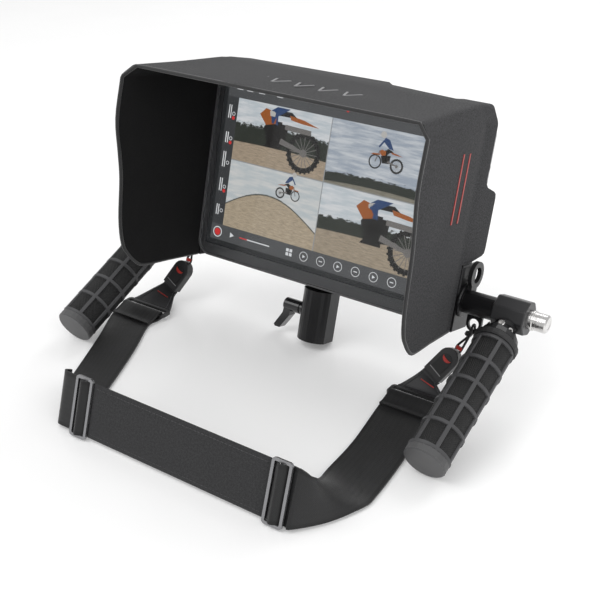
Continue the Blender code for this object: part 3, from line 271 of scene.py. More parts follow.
@dataclass(frozen=True)
class Solid:
    """A hard surface: plastic, rubber, paint or metal, with its grain, its marks and its edge colour, which
    is lighter rubbed wear on most finishes and near-black painted shade along the barrel's facet edges.
    """

    name: str
    colour: tuple[float, float, float]
    roughness: float
    metallic: float = 0.0
    grain: float = 1800.0
    depth: float = 0.12
    cloud: float = 0.18
    marks: float = 0.12
    wear: float = 0.25
    worn_and_shaded: tuple[float, float, float] = (0.24, 0.24, 0.25)
    specular: float = 0.5
    coat: float = 0.0
    turned_along: int = -1

    def build(self, effects: Effects) -> bpy.types.Material:
        """Makes the material.

        Args:
            effects: The shared effects.

        Returns:
            The material.
        """
        material, board, shader = start_material(self.name)
        where = board.place()
        grain = board.group(effects.grain, Vector=where, Scale=self.grain)
        wear = board.group(effects.wear, Vector=where, Amount=self.wear)
        dark = tuple(c * (1 - self.cloud) for c in self.colour)
        light = tuple(c * (1 + self.cloud) for c in self.colour)
        base = board.mix(grain.outputs["Cloud"], (*dark, 1.0), (*light, 1.0))
        # Edge colour: lighter rubbed wear on most finishes, and on the barrel near-black painted shade along
        # the facet edges.
        board.feed(shader.inputs["Base Color"], board.mix(wear.outputs[0], base, (*self.worn_and_shaded, 1.0)))
        marks = board.group(effects.smudge, Vector=where, Level=self.roughness, Amount=self.marks)
        board.feed(shader.inputs["Roughness"], marks.outputs[0])
        height = grain.outputs["Height"]
        if self.turned_along >= 0:
            axis = board.add("SeparateXYZ", {0: where}).outputs[self.turned_along]
            grooves = board.add(
                "TexNoise", {"W": board.math("MULTIPLY", axis, 5200.0), "Scale": 1.0}, noise_dimensions="1D",
            )
            height = board.math("ADD", height, board.math("MULTIPLY", grooves.outputs[0], 1.6))
        board.feed(shader.inputs["Normal"], board.bump(height, self.depth, 0.0001))
        shader.inputs["Metallic"].default_value = self.metallic
        shader.inputs["Specular IOR Level"].default_value = self.specular
        if self.coat:
            shader.inputs["Coat Weight"].default_value = self.coat
            shader.inputs["Coat Roughness"].default_value = 0.12
        return material


@dataclass(frozen=True)
class Cloth:
    """A woven surface on the piece's own UV map, in metres."""

    name: str
    colour: tuple[float, float, float]
    fleck_colour: tuple[float, float, float]
    pitch: float = 0.0007
    fleck: float = 0.8
    depth: float = 0.35
    roughness: float = 0.9
    sheen: float = 0.3
    on_place: bool = False

    def build(self, effects: Effects) -> bpy.types.Material:
        """Makes the material.

        Args:
            effects: The shared effects.

        Returns:
            The material.
        """
        material, board, shader = start_material(self.name)
        where = board.place() if self.on_place else board.surface()
        weave = board.group(effects.weave, Vector=where, Pitch=self.pitch, Fleck=self.fleck)
        base = board.mix(weave.outputs["Shade"], (*self.colour, 1.0), (*self.fleck_colour, 1.0))
        board.feed(shader.inputs["Base Color"], base)
        marks = board.group(effects.smudge, Vector=board.place(), Level=self.roughness, Amount=0.12)
        board.feed(shader.inputs["Roughness"], marks.outputs[0])
        board.feed(shader.inputs["Normal"], board.bump(weave.outputs["Height"], self.depth, 0.0002))
        shader.inputs["Sheen Weight"].default_value = self.sheen
        shader.inputs["Sheen Roughness"].default_value = 0.45
        shader.inputs["Specular IOR Level"].default_value = 0.25
        return material


@dataclass(frozen=True)
class Ribbed:
    """Satin webbing: ribs across its length, a herringbone between them, and a tight band along each edge;
    each rib's crest is painted lighter as highlight and its trough darker as shade.
    """

    name: str
    colour: tuple[float, float, float]
    light: tuple[float, float, float]
    width: float
    rib: float = 0.0014
    roughness: float = 0.42
    sheen: float = 0.25

    def build(self, effects: Effects) -> bpy.types.Material:
        """Makes the material.

        Args:
            effects: The shared effects.

        Returns:
            The material.
        """
        material, board, shader = start_material(self.name)
        where = board.surface()
        parts = board.add("SeparateXYZ", {0: where}).outputs
        zigzag = board.math("PINGPONG", parts[0], 0.0021)
        phase = board.math("DIVIDE", board.math("ADD", parts[1], zigzag), self.rib)
        rib = board.math("MULTIPLY_ADD", board.math("SINE", board.math("MULTIPLY", phase, 2 * pi)), 0.5, 0.5)
        weave = board.group(effects.weave, Vector=where, Pitch=0.0006, Fleck=0.5)
        height = board.math(
            "ADD", board.math("MULTIPLY", rib, 0.8), board.math("MULTIPLY", weave.outputs["Height"], 0.3),
        )
        from_middle = board.math("ABSOLUTE", board.math("SUBTRACT", parts[0], self.width / 2))
        border = board.spread(from_middle, self.width / 2 - 0.0032, self.width / 2 - 0.0024)
        # The ribs' height also sets the colour: painted highlight on each crest and painted shade in each
        # trough.
        tone = board.math(
            "ADD", board.math("MULTIPLY", rib, 0.35), board.math("MULTIPLY", weave.outputs["Shade"], 0.5),
        )
        base = board.mix(
            board.math("ADD", tone, board.math("MULTIPLY", border, -0.3), clamp=True), (*self.colour, 1.0),
            (*self.light, 1.0),
        )
        board.feed(shader.inputs["Base Color"], base)
        broad = board.group(effects.smudge, Vector=board.place(), Level=self.roughness, Amount=0.22)
        board.feed(
            shader.inputs["Roughness"],
            board.math("ADD", broad.outputs[0], board.math("MULTIPLY", border, 0.12), clamp=True),
        )
        board.feed(shader.inputs["Normal"], board.bump(height, 0.35, 0.00025))
        shader.inputs["Sheen Weight"].default_value = self.sheen
        shader.inputs["Specular IOR Level"].default_value = 0.45
        return material


@dataclass(frozen=True)
class Knurled:
    """Grip rubber with fine pyramids, on the sleeve's own UV map, in metres; the pyramids' tips are painted
    lighter as highlight and the grooves darker as shade.
    """

    name: str
    colour: tuple[float, float, float]
    light: tuple[float, float, float]
    pitch: float = 0.0016
    roughness: float = 0.62

    def build(self, effects: Effects) -> bpy.types.Material:
        """Makes the material.

        Args:
            effects: The shared effects.

        Returns:
            The material.
        """
        material, board, shader = start_material(self.name)
        knurl = board.group(effects.knurl, Vector=board.surface(), Pitch=self.pitch)
        grain = board.group(effects.grain, Vector=board.place(), Scale=1400.0)
        # Colour from the knurl's height: painted highlight on the pyramids' tips, painted shade in the
        # grooves.
        board.feed(
            shader.inputs["Base Color"],
            board.mix(board.spread(knurl.outputs[0], 0.45, 0.9), (*self.colour, 1.0), (*self.light, 1.0)),
        )
        marks = board.group(effects.smudge, Vector=board.place(), Level=self.roughness, Amount=0.15)
        board.feed(shader.inputs["Roughness"], marks.outputs[0])
        height = board.math("ADD", knurl.outputs[0], board.math("MULTIPLY", grain.outputs["Height"], 0.12))
        board.feed(shader.inputs["Normal"], board.bump(height, 0.9, 0.0005))
        return material


@dataclass(frozen=True)
class CoverGlass:
    """The dark reflecting glass over the screen."""

    name: str = "cover_glass"

    def build(self, effects: Effects) -> bpy.types.Material:
        """Makes the material.

        Args:
            effects: The shared effects.

        Returns:
            The material.
        """
        material, board, shader = start_material(self.name)
        tint = board.mix(board.noise(board.place(), 30.0), (0.90, 0.91, 0.92, 1.0), (0.95, 0.955, 0.96, 1.0))
        board.feed(shader.inputs["Base Color"], tint)
        marks = board.group(effects.smudge, Vector=board.place(), Level=0.045, Amount=0.05)
        board.feed(shader.inputs["Roughness"], marks.outputs[0])
        shader.inputs["Transmission Weight"].default_value = 1.0
        shader.inputs["IOR"].default_value = 1.2
        return material


@dataclass(frozen=True)
class Lit:
    """A part of the lit picture that is one tone, with a faint cloud of noise across it."""

    name: str
    colour: tuple[float, float, float]
    strength: float = 1.0

    def build(self, effects: Effects) -> bpy.types.Material:
        """Makes the material.

        Args:
            effects: The shared effects.

        Returns:
            The material.
        """
        material, board, shader = start_material(self.name)
        cloud = board.group(effects.grain, Vector=board.place(), Scale=1500.0)
        low = tuple(c * 0.86 for c in self.colour)
        glow = board.mix(cloud.outputs["Cloud"], (*low, 1.0), (*self.colour, 1.0))
        board.feed(shader.inputs["Emission Color"], glow)
        shader.inputs["Emission Strength"].default_value = self.strength
        shader.inputs["Base Color"].default_value = (0.01, 0.01, 0.01, 1.0)
        shader.inputs["Roughness"].default_value = 0.6
        return material


@dataclass(frozen=True)
class Landscape:
    """A generic view on the display, on its plate's UV map: sky, a line of trees and sandy ground."""

    name: str
    horizon: float
    trees: float
    hill: float
    sky: tuple[float, float, float] = (0.56, 0.62, 0.66)
    cloud: tuple[float, float, float] = (0.78, 0.79, 0.80)
    wood: tuple[float, float, float] = (0.035, 0.040, 0.032)
    sand: tuple[float, float, float] = (0.50, 0.40, 0.29)
    strength: float = 0.80

    def build(self, effects: Effects) -> bpy.types.Material:
        """Makes the material.

        Args:
            effects: The shared effects.

        Returns:
            The material.
        """
        material, board, shader = start_material(self.name)
        where = board.surface()
        u, v, _ = board.add("SeparateXYZ", {0: where}).outputs
        stretched = board.add("Mapping", {"Vector": where, "Scale": (1.6, 5.0, 1.0)}).outputs[0]
        cloud = board.spread(board.noise(stretched, 2.3, 5.0, 0.6), 0.38, 0.66)
        sky = board.mix(cloud, (*self.sky, 1.0), (*self.cloud, 1.0))
        rise = board.math("MULTIPLY", board.math("SINE", board.math("MULTIPLY_ADD", u, 3.0, 0.2)), self.hill)
        ground_line = board.math("ADD", rise, self.horizon)
        ragged = board.math("MULTIPLY", board.noise(where, 26.0, 4.0, 0.7), self.trees)
        tree_line = board.math("MULTIPLY_ADD", ragged, 1.0, board.math("ADD", ground_line, self.trees * 0.4))
        over_trees = board.spread(board.math("SUBTRACT", v, tree_line), -0.01, 0.01)
        with_trees = board.mix(over_trees, (*self.wood, 1.0), sky)
        rough = board.noise(
            board.add("Mapping", {"Vector": where, "Scale": (1.0, 3.0, 1.0)}).outputs[0], 16.0, 6.0, 0.7,
        )
        ground = board.mix(
            board.spread(rough, 0.3, 0.7), (*[c * 0.62 for c in self.sand], 1.0), (*self.sand, 1.0),
        )
        over_ground = board.spread(board.math("SUBTRACT", v, ground_line), -0.008, 0.008)
        board.feed(shader.inputs["Emission Color"], board.mix(over_ground, ground, with_trees))
        shader.inputs["Emission Strength"].default_value = self.strength
        shader.inputs["Base Color"].default_value = (0.01, 0.01, 0.01, 1.0)
        shader.inputs["Roughness"].default_value = 0.6
        return material


Finish = Solid | Cloth | Ribbed | Knurled | CoverGlass | Lit | Landscape


def start_material(name: str) -> tuple[bpy.types.Material, Board, bpy.types.Node]:
    """A new material, its board and its Principled shader."""
    material = bpy.data.materials.new("look_" + name)
    material.use_nodes = True
    return material, Board(material.node_tree), material.node_tree.nodes["Principled BSDF"]


FINISHES: dict[Slot, Finish] = {
    Slot.BEZEL: Solid(
        "bezel_paint", (0.094, 0.094, 0.097), 0.46, grain=2200.0, depth=0.10, cloud=0.06, wear=0.12,
    ),
    Slot.GLASS: CoverGlass(),
    Slot.DISPLAY: Lit("display_base", (0.030, 0.032, 0.034), 0.6),
    Slot.PLATE: Solid(
        "bright_steel", (0.62, 0.62, 0.63), 0.34, metallic=1.0, grain=900.0, wear=0.3, worn_and_shaded=(0.8, 0.8, 0.8),
    ),
    Slot.BOARD: Solid("board_lacquer", (0.02, 0.10, 0.045), 0.45, cloud=0.35),
    Slot.HOUSING: Solid(
        "housing_metal", (0.58, 0.58, 0.59), 0.42, metallic=0.7, grain=2600.0, depth=0.14, cloud=0.05,
        wear=0.35, worn_and_shaded=(0.8, 0.8, 0.8),
    ),
    Slot.ANODISED: Solid(
        "black_anodising", (0.010, 0.010, 0.011), 0.32, metallic=0.35, grain=2600.0, depth=0.10, cloud=0.2,
        wear=0.35, worn_and_shaded=(0.20, 0.20, 0.21), specular=0.6,
    ),
    Slot.CHROME: Solid(
        "turned_steel", (0.72, 0.71, 0.70), 0.20, metallic=1.0, grain=1200.0, depth=0.10, cloud=0.04,
        marks=0.10, wear=0.4, worn_and_shaded=(0.92, 0.92, 0.92), turned_along=0,
    ),
    Slot.RUBBER: Solid(
        "rib_rubber", (0.062, 0.062, 0.065), 0.56, depth=0.2, cloud=0.15, wear=0.30, worn_and_shaded=(0.20, 0.20, 0.21),
    ),
    Slot.COLLAR: Solid(
        "collar_rubber", (0.026, 0.026, 0.027), 0.55, depth=0.18, wear=0.3, worn_and_shaded=(0.16, 0.16, 0.16),
    ),
    Slot.CAP: Solid(
        "cap_plastic", (0.085, 0.085, 0.087), 0.52, depth=0.16, cloud=0.12, wear=0.3, worn_and_shaded=(0.26, 0.26, 0.26),
    ),
    Slot.LEVER: Solid(
        "glossy_black", (0.010, 0.010, 0.011), 0.20, depth=0.05, wear=0.2, coat=0.4, worn_and_shaded=(0.08, 0.08, 0.08),
    ),
    Slot.HOOD: Cloth(
        "hood_fabric", (0.010, 0.010, 0.011), (0.058, 0.058, 0.062), pitch=0.0008, fleck=0.85, sheen=0.10,
    ),
    # The webbing's lighter colour is painted highlight on the rib crests.
    Slot.WEBBING: Ribbed("satin_webbing", (0.0035, 0.0035, 0.0038), (0.015, 0.015, 0.016), 0.041, sheen=0.08),
    Slot.PAD: Cloth(
        "pad_fabric", (0.020, 0.020, 0.021), (0.050, 0.050, 0.052), pitch=0.0009, fleck=0.45, roughness=0.75,
        sheen=0.08,
    ),
    Slot.SLIDER: Solid(
        "slider_plating", (0.30, 0.30, 0.31), 0.27, metallic=0.85, grain=1500.0, depth=0.06, cloud=0.05,
        wear=0.12, worn_and_shaded=(0.62, 0.62, 0.63),
    ),
    Slot.NYLON: Solid(
        "black_nylon", (0.016, 0.016, 0.017), 0.38, depth=0.14, wear=0.35, worn_and_shaded=(0.12, 0.12, 0.12),
    ),
    Slot.LEATHER: Solid(
        "coated_leather", (0.022, 0.022, 0.024), 0.55, grain=700.0, depth=0.45, cloud=0.25, wear=0.2,
        worn_and_shaded=(0.11, 0.11, 0.11),
    ),
    Slot.CORD: Cloth(
        "braided_cord", (0.008, 0.008, 0.009), (0.035, 0.035, 0.037), pitch=0.0011, fleck=0.6, depth=0.8,
        roughness=0.6,
    ),
}

ACCENTS: dict[str, Finish] = {
    "lining": Cloth(
        "hood_lining", (0.0045, 0.0045, 0.0048), (0.011, 0.011, 0.0115), pitch=0.0010, fleck=0.4,
        roughness=0.95, sheen=0.05,
    ),
    # The binding's lighter colour is painted highlight on the rib crests.
    "binding": Ribbed(
        "hood_binding", (0.007, 0.007, 0.0075), (0.050, 0.050, 0.052), 0.012, rib=0.0010, roughness=0.5,
    ),
    # The knurl's lighter colour is painted highlight on the pyramids' tips; its darker one is painted shade
    # in the grooves.
    "knurl": Knurled("grip_knurl", (0.003, 0.003, 0.0033), (0.016, 0.016, 0.017), pitch=0.0019),
    "red": Solid("signal_red", (0.42, 0.022, 0.015), 0.40, depth=0.1, wear=0.1, worn_and_shaded=(0.6, 0.2, 0.15)),
    # The barrel's edge colour is near-black at full amount: painted shade along its facet edges, not wear.
    "barrel": Solid(
        "barrel_anodising_shaded_edges", (0.040, 0.040, 0.042), 0.36, metallic=0.3, grain=2400.0, depth=0.10, cloud=0.1,
        wear=1.0, worn_and_shaded=(0.004, 0.004, 0.004), specular=0.6,
    ),
    # A near-black sheet of painted shade, laid on the connector where its pocket is recessed.
    "recess": Solid("painted_recess_shade", (0.004, 0.004, 0.0045), 0.55, wear=0.0),
    "stitch": Cloth(
        "stitch_thread", (0.030, 0.030, 0.032), (0.095, 0.095, 0.10), pitch=0.0008, fleck=0.7, depth=0.6,
        on_place=True,
    ),
    "pale_line": Solid("pale_print", (0.26, 0.26, 0.265), 0.5, wear=0.1),
    "ui_dark": Lit("ui_panel", (0.060, 0.063, 0.066), 0.75),
    "ui_bar": Lit("ui_bar", (0.105, 0.108, 0.112), 0.75),
    "ui_line": Lit("ui_line", (0.36, 0.37, 0.38), 0.8),
    "ui_light": Lit("ui_light", (0.72, 0.73, 0.74), 1.0),
    "ui_red": Lit("ui_red", (0.62, 0.035, 0.035), 1.0),
    "ui_orange": Lit("ui_orange", (0.40, 0.12, 0.03), 0.8),
    "ui_blue": Lit("ui_blue", (0.035, 0.075, 0.19), 0.8),
    "ui_tyre": Lit("ui_tyre", (0.022, 0.021, 0.020), 0.8),
    "ui_steel": Lit("ui_steel", (0.20, 0.19, 0.18), 0.8),
    "ui_pale": Lit("ui_pale", (0.60, 0.58, 0.55), 0.8),
    "view_a": Landscape("view_close", 0.30, 0.34, 0.02),
    "view_b": Landscape(
        "view_jump", 0.02, 0.16, 0.05, sky=(0.38, 0.43, 0.50), cloud=(0.66, 0.69, 0.72),
        sand=(0.30, 0.28, 0.22),
    ),
    "view_c": Landscape(
        "view_dune", 0.26, 0.02, 0.34, sky=(0.55, 0.60, 0.62), cloud=(0.72, 0.72, 0.70),
        sand=(0.56, 0.46, 0.33),
    ),
    "view_d": Landscape("view_track", 0.34, 0.22, 0.03, sand=(0.46, 0.38, 0.28)),
}


class Paints:
    """Hands out each finish as one shared material."""

    def __init__(self) -> None:
        """Builds the shared effects; materials are made when they are first asked for."""
        self.effects = Effects()
        self.made: dict[str, bpy.types.Material] = {}

    def get(self, key: Slot | str) -> bpy.types.Material:
        """The material of a slot or of an accent."""
        finish = FINISHES[key] if isinstance(key, Slot) else ACCENTS[key]
        if finish.name not in self.made:
            self.made[finish.name] = finish.build(self.effects)
        return self.made[finish.name]


# The bench: the steps that shape a piece


def put_down() -> None:
    """Leaves edit mode, with nothing selected."""
    if bpy.context.mode != "OBJECT":
        bpy.ops.object.mode_set(mode="OBJECT")
    for item in bpy.context.selected_objects:
        item.select_set(False)
    bpy.context.view_layer.objects.active = None


def take_up(piece: bpy.types.Object) -> None:
    """Selects one piece alone and makes it active."""
    put_down()
    piece.select_set(True)
    bpy.context.view_layer.objects.active = piece


@contextmanager
def shaping(piece: bpy.types.Object, kind: str = "FACE") -> Iterator[None]:
    """Edit mode on a piece, with nothing selected at the start.

    Args:
        piece: The piece to shape.
        kind: VERT, EDGE or FACE.
    """
    take_up(piece)
    bpy.ops.object.mode_set(mode="EDIT")
    bpy.ops.mesh.select_mode(type=kind)
    bpy.ops.mesh.select_all(action="DESELECT")
    yield
    bpy.ops.object.mode_set(mode="OBJECT")


def pick(piece: bpy.types.Object, test: Callable[[Vector, Vector], bool]) -> int:
    """Selects, in edit mode, the faces whose middle and normal pass a test.

    Args:
        piece: The piece in edit mode.
        test: Takes a face's middle and normal.

    Returns:
        How many faces are selected.
    """
    mesh = bmesh.from_edit_mesh(piece.data)
    count = 0
    for face in mesh.faces:
        chosen = test(face.calc_center_median(), face.normal)
        face.select_set(chosen)
        count += chosen
    bmesh.update_edit_mesh(piece.data)
    return count


def named(name: str) -> bpy.types.Object:
    """Gives the active piece, and its mesh, a name."""
    piece = bpy.context.object
    piece.name = piece.data.name = name
    return piece


def turned(name: str, profile: Sequence[Point], steps: int = 32) -> bpy.types.Object:
    """A turned piece about Z, spun from a half profile.

    Args:
        name: The piece's name.
        profile: (height, radius) from one end to the other; it starts and ends on the axis.
        steps: How many steps make the full turn.

    Returns:
        The piece, at the origin.
    """
    put_down()
    bpy.ops.mesh.primitive_circle_add(vertices=len(profile), fill_type="NOTHING")
    piece = named(name)
    with shaping(piece, "EDGE"):
        mesh = bmesh.from_edit_mesh(piece.data)
        mesh.verts.ensure_lookup_table()
        for vert, (height, radius) in zip(mesh.verts, profile):
            vert.co = (radius, 0.0, height)
        closing = [e for e in mesh.edges if {v.index for v in e.verts} == {0, len(profile) - 1}]
        bmesh.ops.delete(mesh, geom=closing, context="EDGES")
        bmesh.update_edit_mesh(piece.data)
        bpy.ops.mesh.select_all(action="SELECT")
        bpy.ops.mesh.spin(steps=steps, angle=2 * pi, center=(0, 0, 0), axis=(0, 0, 1))
        bpy.ops.mesh.select_all(action="SELECT")
        bpy.ops.mesh.remove_doubles(threshold=1e-6)
        bpy.ops.mesh.normals_make_consistent(inside=False)
    return piece


def cutout(name: str, outline: Sequence[Point], thickness: float) -> bpy.types.Object:
    """A flat plate of any outline in X and Y, with its face towards +Z.

    Args:
        name: The piece's name.
        outline: The corners, in order.
        thickness: How far it is drawn up from Z 0.

    Returns:
        The piece.
    """
    put_down()
    bpy.ops.mesh.primitive_circle_add(vertices=len(outline), fill_type="NGON")
    piece = named(name)
    with shaping(piece):
        mesh = bmesh.from_edit_mesh(piece.data)
        mesh.verts.ensure_lookup_table()
        for vert, (x, y) in zip(mesh.verts, outline):
            vert.co = (x, y, 0.0)
        bmesh.update_edit_mesh(piece.data)
        bpy.ops.mesh.select_all(action="SELECT")
        bpy.ops.mesh.extrude_region_move(TRANSFORM_OT_translate={"value": (0, 0, thickness)})
        bpy.ops.mesh.select_all(action="SELECT")
        bpy.ops.mesh.normals_make_consistent(inside=False)
    return piece


def disc(
    name: str, x: float, y: float, radius: float, thickness: float, hole: float = 0.0,
) -> bpy.types.Object:
    """A round plate or, with a hole, a flat ring.

    Args:
        name: The piece's name.
        x: Its middle.
        y: Its middle.
        radius: Its outer radius.
        thickness: How far it is drawn up from Z 0.
        hole: The radius of its hole.

    Returns:
        The piece.
    """
    if hole:
        put_down()
        minor = (radius - hole) / 2
        bpy.ops.mesh.primitive_torus_add(
            major_radius=hole + minor, minor_radius=minor, major_segments=28, minor_segments=4,
        )
        piece = named(name)
        piece.data.transform(
            Matrix.Translation((x, y, thickness / 2)) @ Matrix.Diagonal((1, 1, 0.5 * thickness / minor, 1))
        )
        return piece
    steps = 20
    return cutout(
        name,
        [(x + radius * cos(2 * pi * i / steps), y + radius * sin(2 * pi * i / steps)) for i in range(steps)],
        thickness,
    )


def bar(
    name: str, start: Point, end: Point, width: float, thickness: float, end_width: float | None = None,
) -> bpy.types.Object:
    """A flat bar between two points.

    Args:
        name: The piece's name.
        start: Where it starts.
        end: Where it ends.
        width: How wide it is at the start.
        thickness: How far it is drawn up from Z 0.
        end_width: How wide it is at the end, if that differs.

    Returns:
        The piece.
    """
    a, b = Vector(start), Vector(end)
    out = Vector((-(b - a).y, (b - a).x)).normalized()
    w, e = out * width / 2, out * (end_width or width) / 2
    return cutout(name, [tuple(a - w), tuple(b - e), tuple(b + e), tuple(a + w)], thickness)


def joined(name: str, pieces: Sequence[bpy.types.Object]) -> bpy.types.Object:
    """Several shapes made one piece."""
    put_down()
    for piece in pieces:
        piece.select_set(True)
    bpy.context.view_layer.objects.active = pieces[0]
    if len(pieces) > 1:
        bpy.ops.object.join()
    return named(name)


def settle(piece: bpy.types.Object, place: Matrix) -> None:
    """Puts a piece's place into its mesh, so that its object stays at the origin."""
    piece.data.transform(piece.matrix_world)
    piece.matrix_world = Matrix.Identity(4)
    piece.data.transform(place)
    if place.determinant() < 0:
        piece.data.flip_normals()


def apply_modifier(piece: bpy.types.Object, kind: str, **settings: object) -> None:
    """Adds a modifier with its settings and applies it."""
    take_up(piece)
    modifier = piece.modifiers.new(kind.lower(), kind)
    for key, value in settings.items():
        setattr(modifier, key, value)
    bpy.ops.object.modifier_apply(modifier=modifier.name)


def smooth_route(points: Sequence[Vector], steps: int) -> list[Vector]:
    """Points along a smooth curve through all the given ones.

    Args:
        points: The points to pass through.
        steps: How many points each stretch gets.

    Returns:
        The points of the curve.
    """
    padded = [2 * points[0] - points[1], *points, 2 * points[-1] - points[-2]]
    route = []
    for before, start, end, after in zip(padded, padded[1:], padded[2:], padded[3:]):
        for step in range(steps):
            t = step / steps
            route.append(0.5 * (
                2 * start + (end - before) * t + (2 * before - 5 * start + 4 * end - after) * t * t
                + (3 * start - before - 3 * end + after) * t * t * t
            ))
    return [*route, points[-1].copy()]


class Maker:
    """Finishes pieces and keeps the paints."""

    def __init__(self) -> None:
        """Gets the paints ready."""
        self.paints = Paints()

    def finish(
        self, piece: bpy.types.Object, body: str, slot: Slot, looks: Sequence[Slot | str] = (),
        stands_for: Sequence[str] = (), smooth: float = 35.0,
    ) -> bpy.types.Object:
        """Dresses a piece and puts it on its body.

        Args:
            piece: The piece, at its place.
            body: The body that it rides on.
            slot: The record's slot that it belongs to.
            looks: The finishes of its material slots, or none for the slot's own.
            stands_for: The frame's nodes that it replaces.
            smooth: The largest angle, in degrees, that is shaded smooth.

        Returns:
            The piece.
        """
        shelf = piece.data.materials
        for place, look in enumerate(looks or (slot,)):
            if place < len(shelf):
                shelf[place] = self.paints.get(look)
            else:
                shelf.append(self.paints.get(look))
        take_up(piece)
        bpy.ops.object.shade_smooth_by_angle(angle=radians(smooth))
        put_down()
        if stands_for:
            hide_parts(*stands_for)
        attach(piece, body)
        log.info("%s on %s: %d faces", piece.name, body, len(piece.data.polygons))
        return piece

    def dress_nodes(self) -> None:
        """Gives every node of the frame the finish of its slot."""
        known = {slot.value: slot for slot in Slot}
        for name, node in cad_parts.items():
            for place in node.material_slots:
                label = place.material.name.split(".")[0]
                if label in known:
                    place.material = self.paints.get(known[label])
                else:
                    log.warning("%s has the unknown slot %s", name, label)
            # The joint barrels take the barrel finish, with its painted shade along the facet edges.
            if name.startswith("joint_barrel"):
                for place in node.material_slots:
                    place.material = self.paints.get("barrel")


# Places


@dataclass
class Layout:
    """The three frames that pieces are placed in, read from the frame's nodes."""

    tilt: float = radians(15.0)
    screen_height: float = 0.165
    glass_middle: float = 0.0006
    loop_underside: float = 0.0027

    def screen(self) -> Matrix:
        """X across, Y to the back and Z up the screen, from the middle of its lower edge."""
        low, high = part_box("front_glass")
        turn = Matrix.Rotation(-self.tilt, 4, "X")
        offset = turn.to_3x3() @ Vector((0, self.glass_middle, self.screen_height / 2))
        return Matrix.Translation((low + high) / 2 - offset) @ turn

    def ground(self) -> Matrix:
        """The strap's frame, level on the floor under the screen's lower edge."""
        low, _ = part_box("strap_loop_left")
        return Matrix.Translation((0.0, self.screen().translation.y, low.z - self.loop_underside))

    def handle(self, side: Side) -> Matrix:
        """X along the joint's axis, and the grip along -Y, for one side."""
        low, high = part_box(f"joint_barrel_{side.tag}")
        axis = (low + high) / 2
        low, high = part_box(f"grip_end_cap_{side.tag}")
        reach = (low + high) / 2 - axis
        return Matrix.Translation((0.0, axis.y, axis.z)) @ Matrix.Rotation(atan2(-reach.z, -reach.y), 4, "X")


def face_plate(screen: Matrix, depth: float) -> Matrix:
    """Places a flat piece made in X and Y on the screen, facing out, at a depth behind the glass."""
    return screen @ Matrix.Translation((0.0, depth, 0.0)) @ Matrix.Rotation(pi / 2, 4, "X")


# Screen


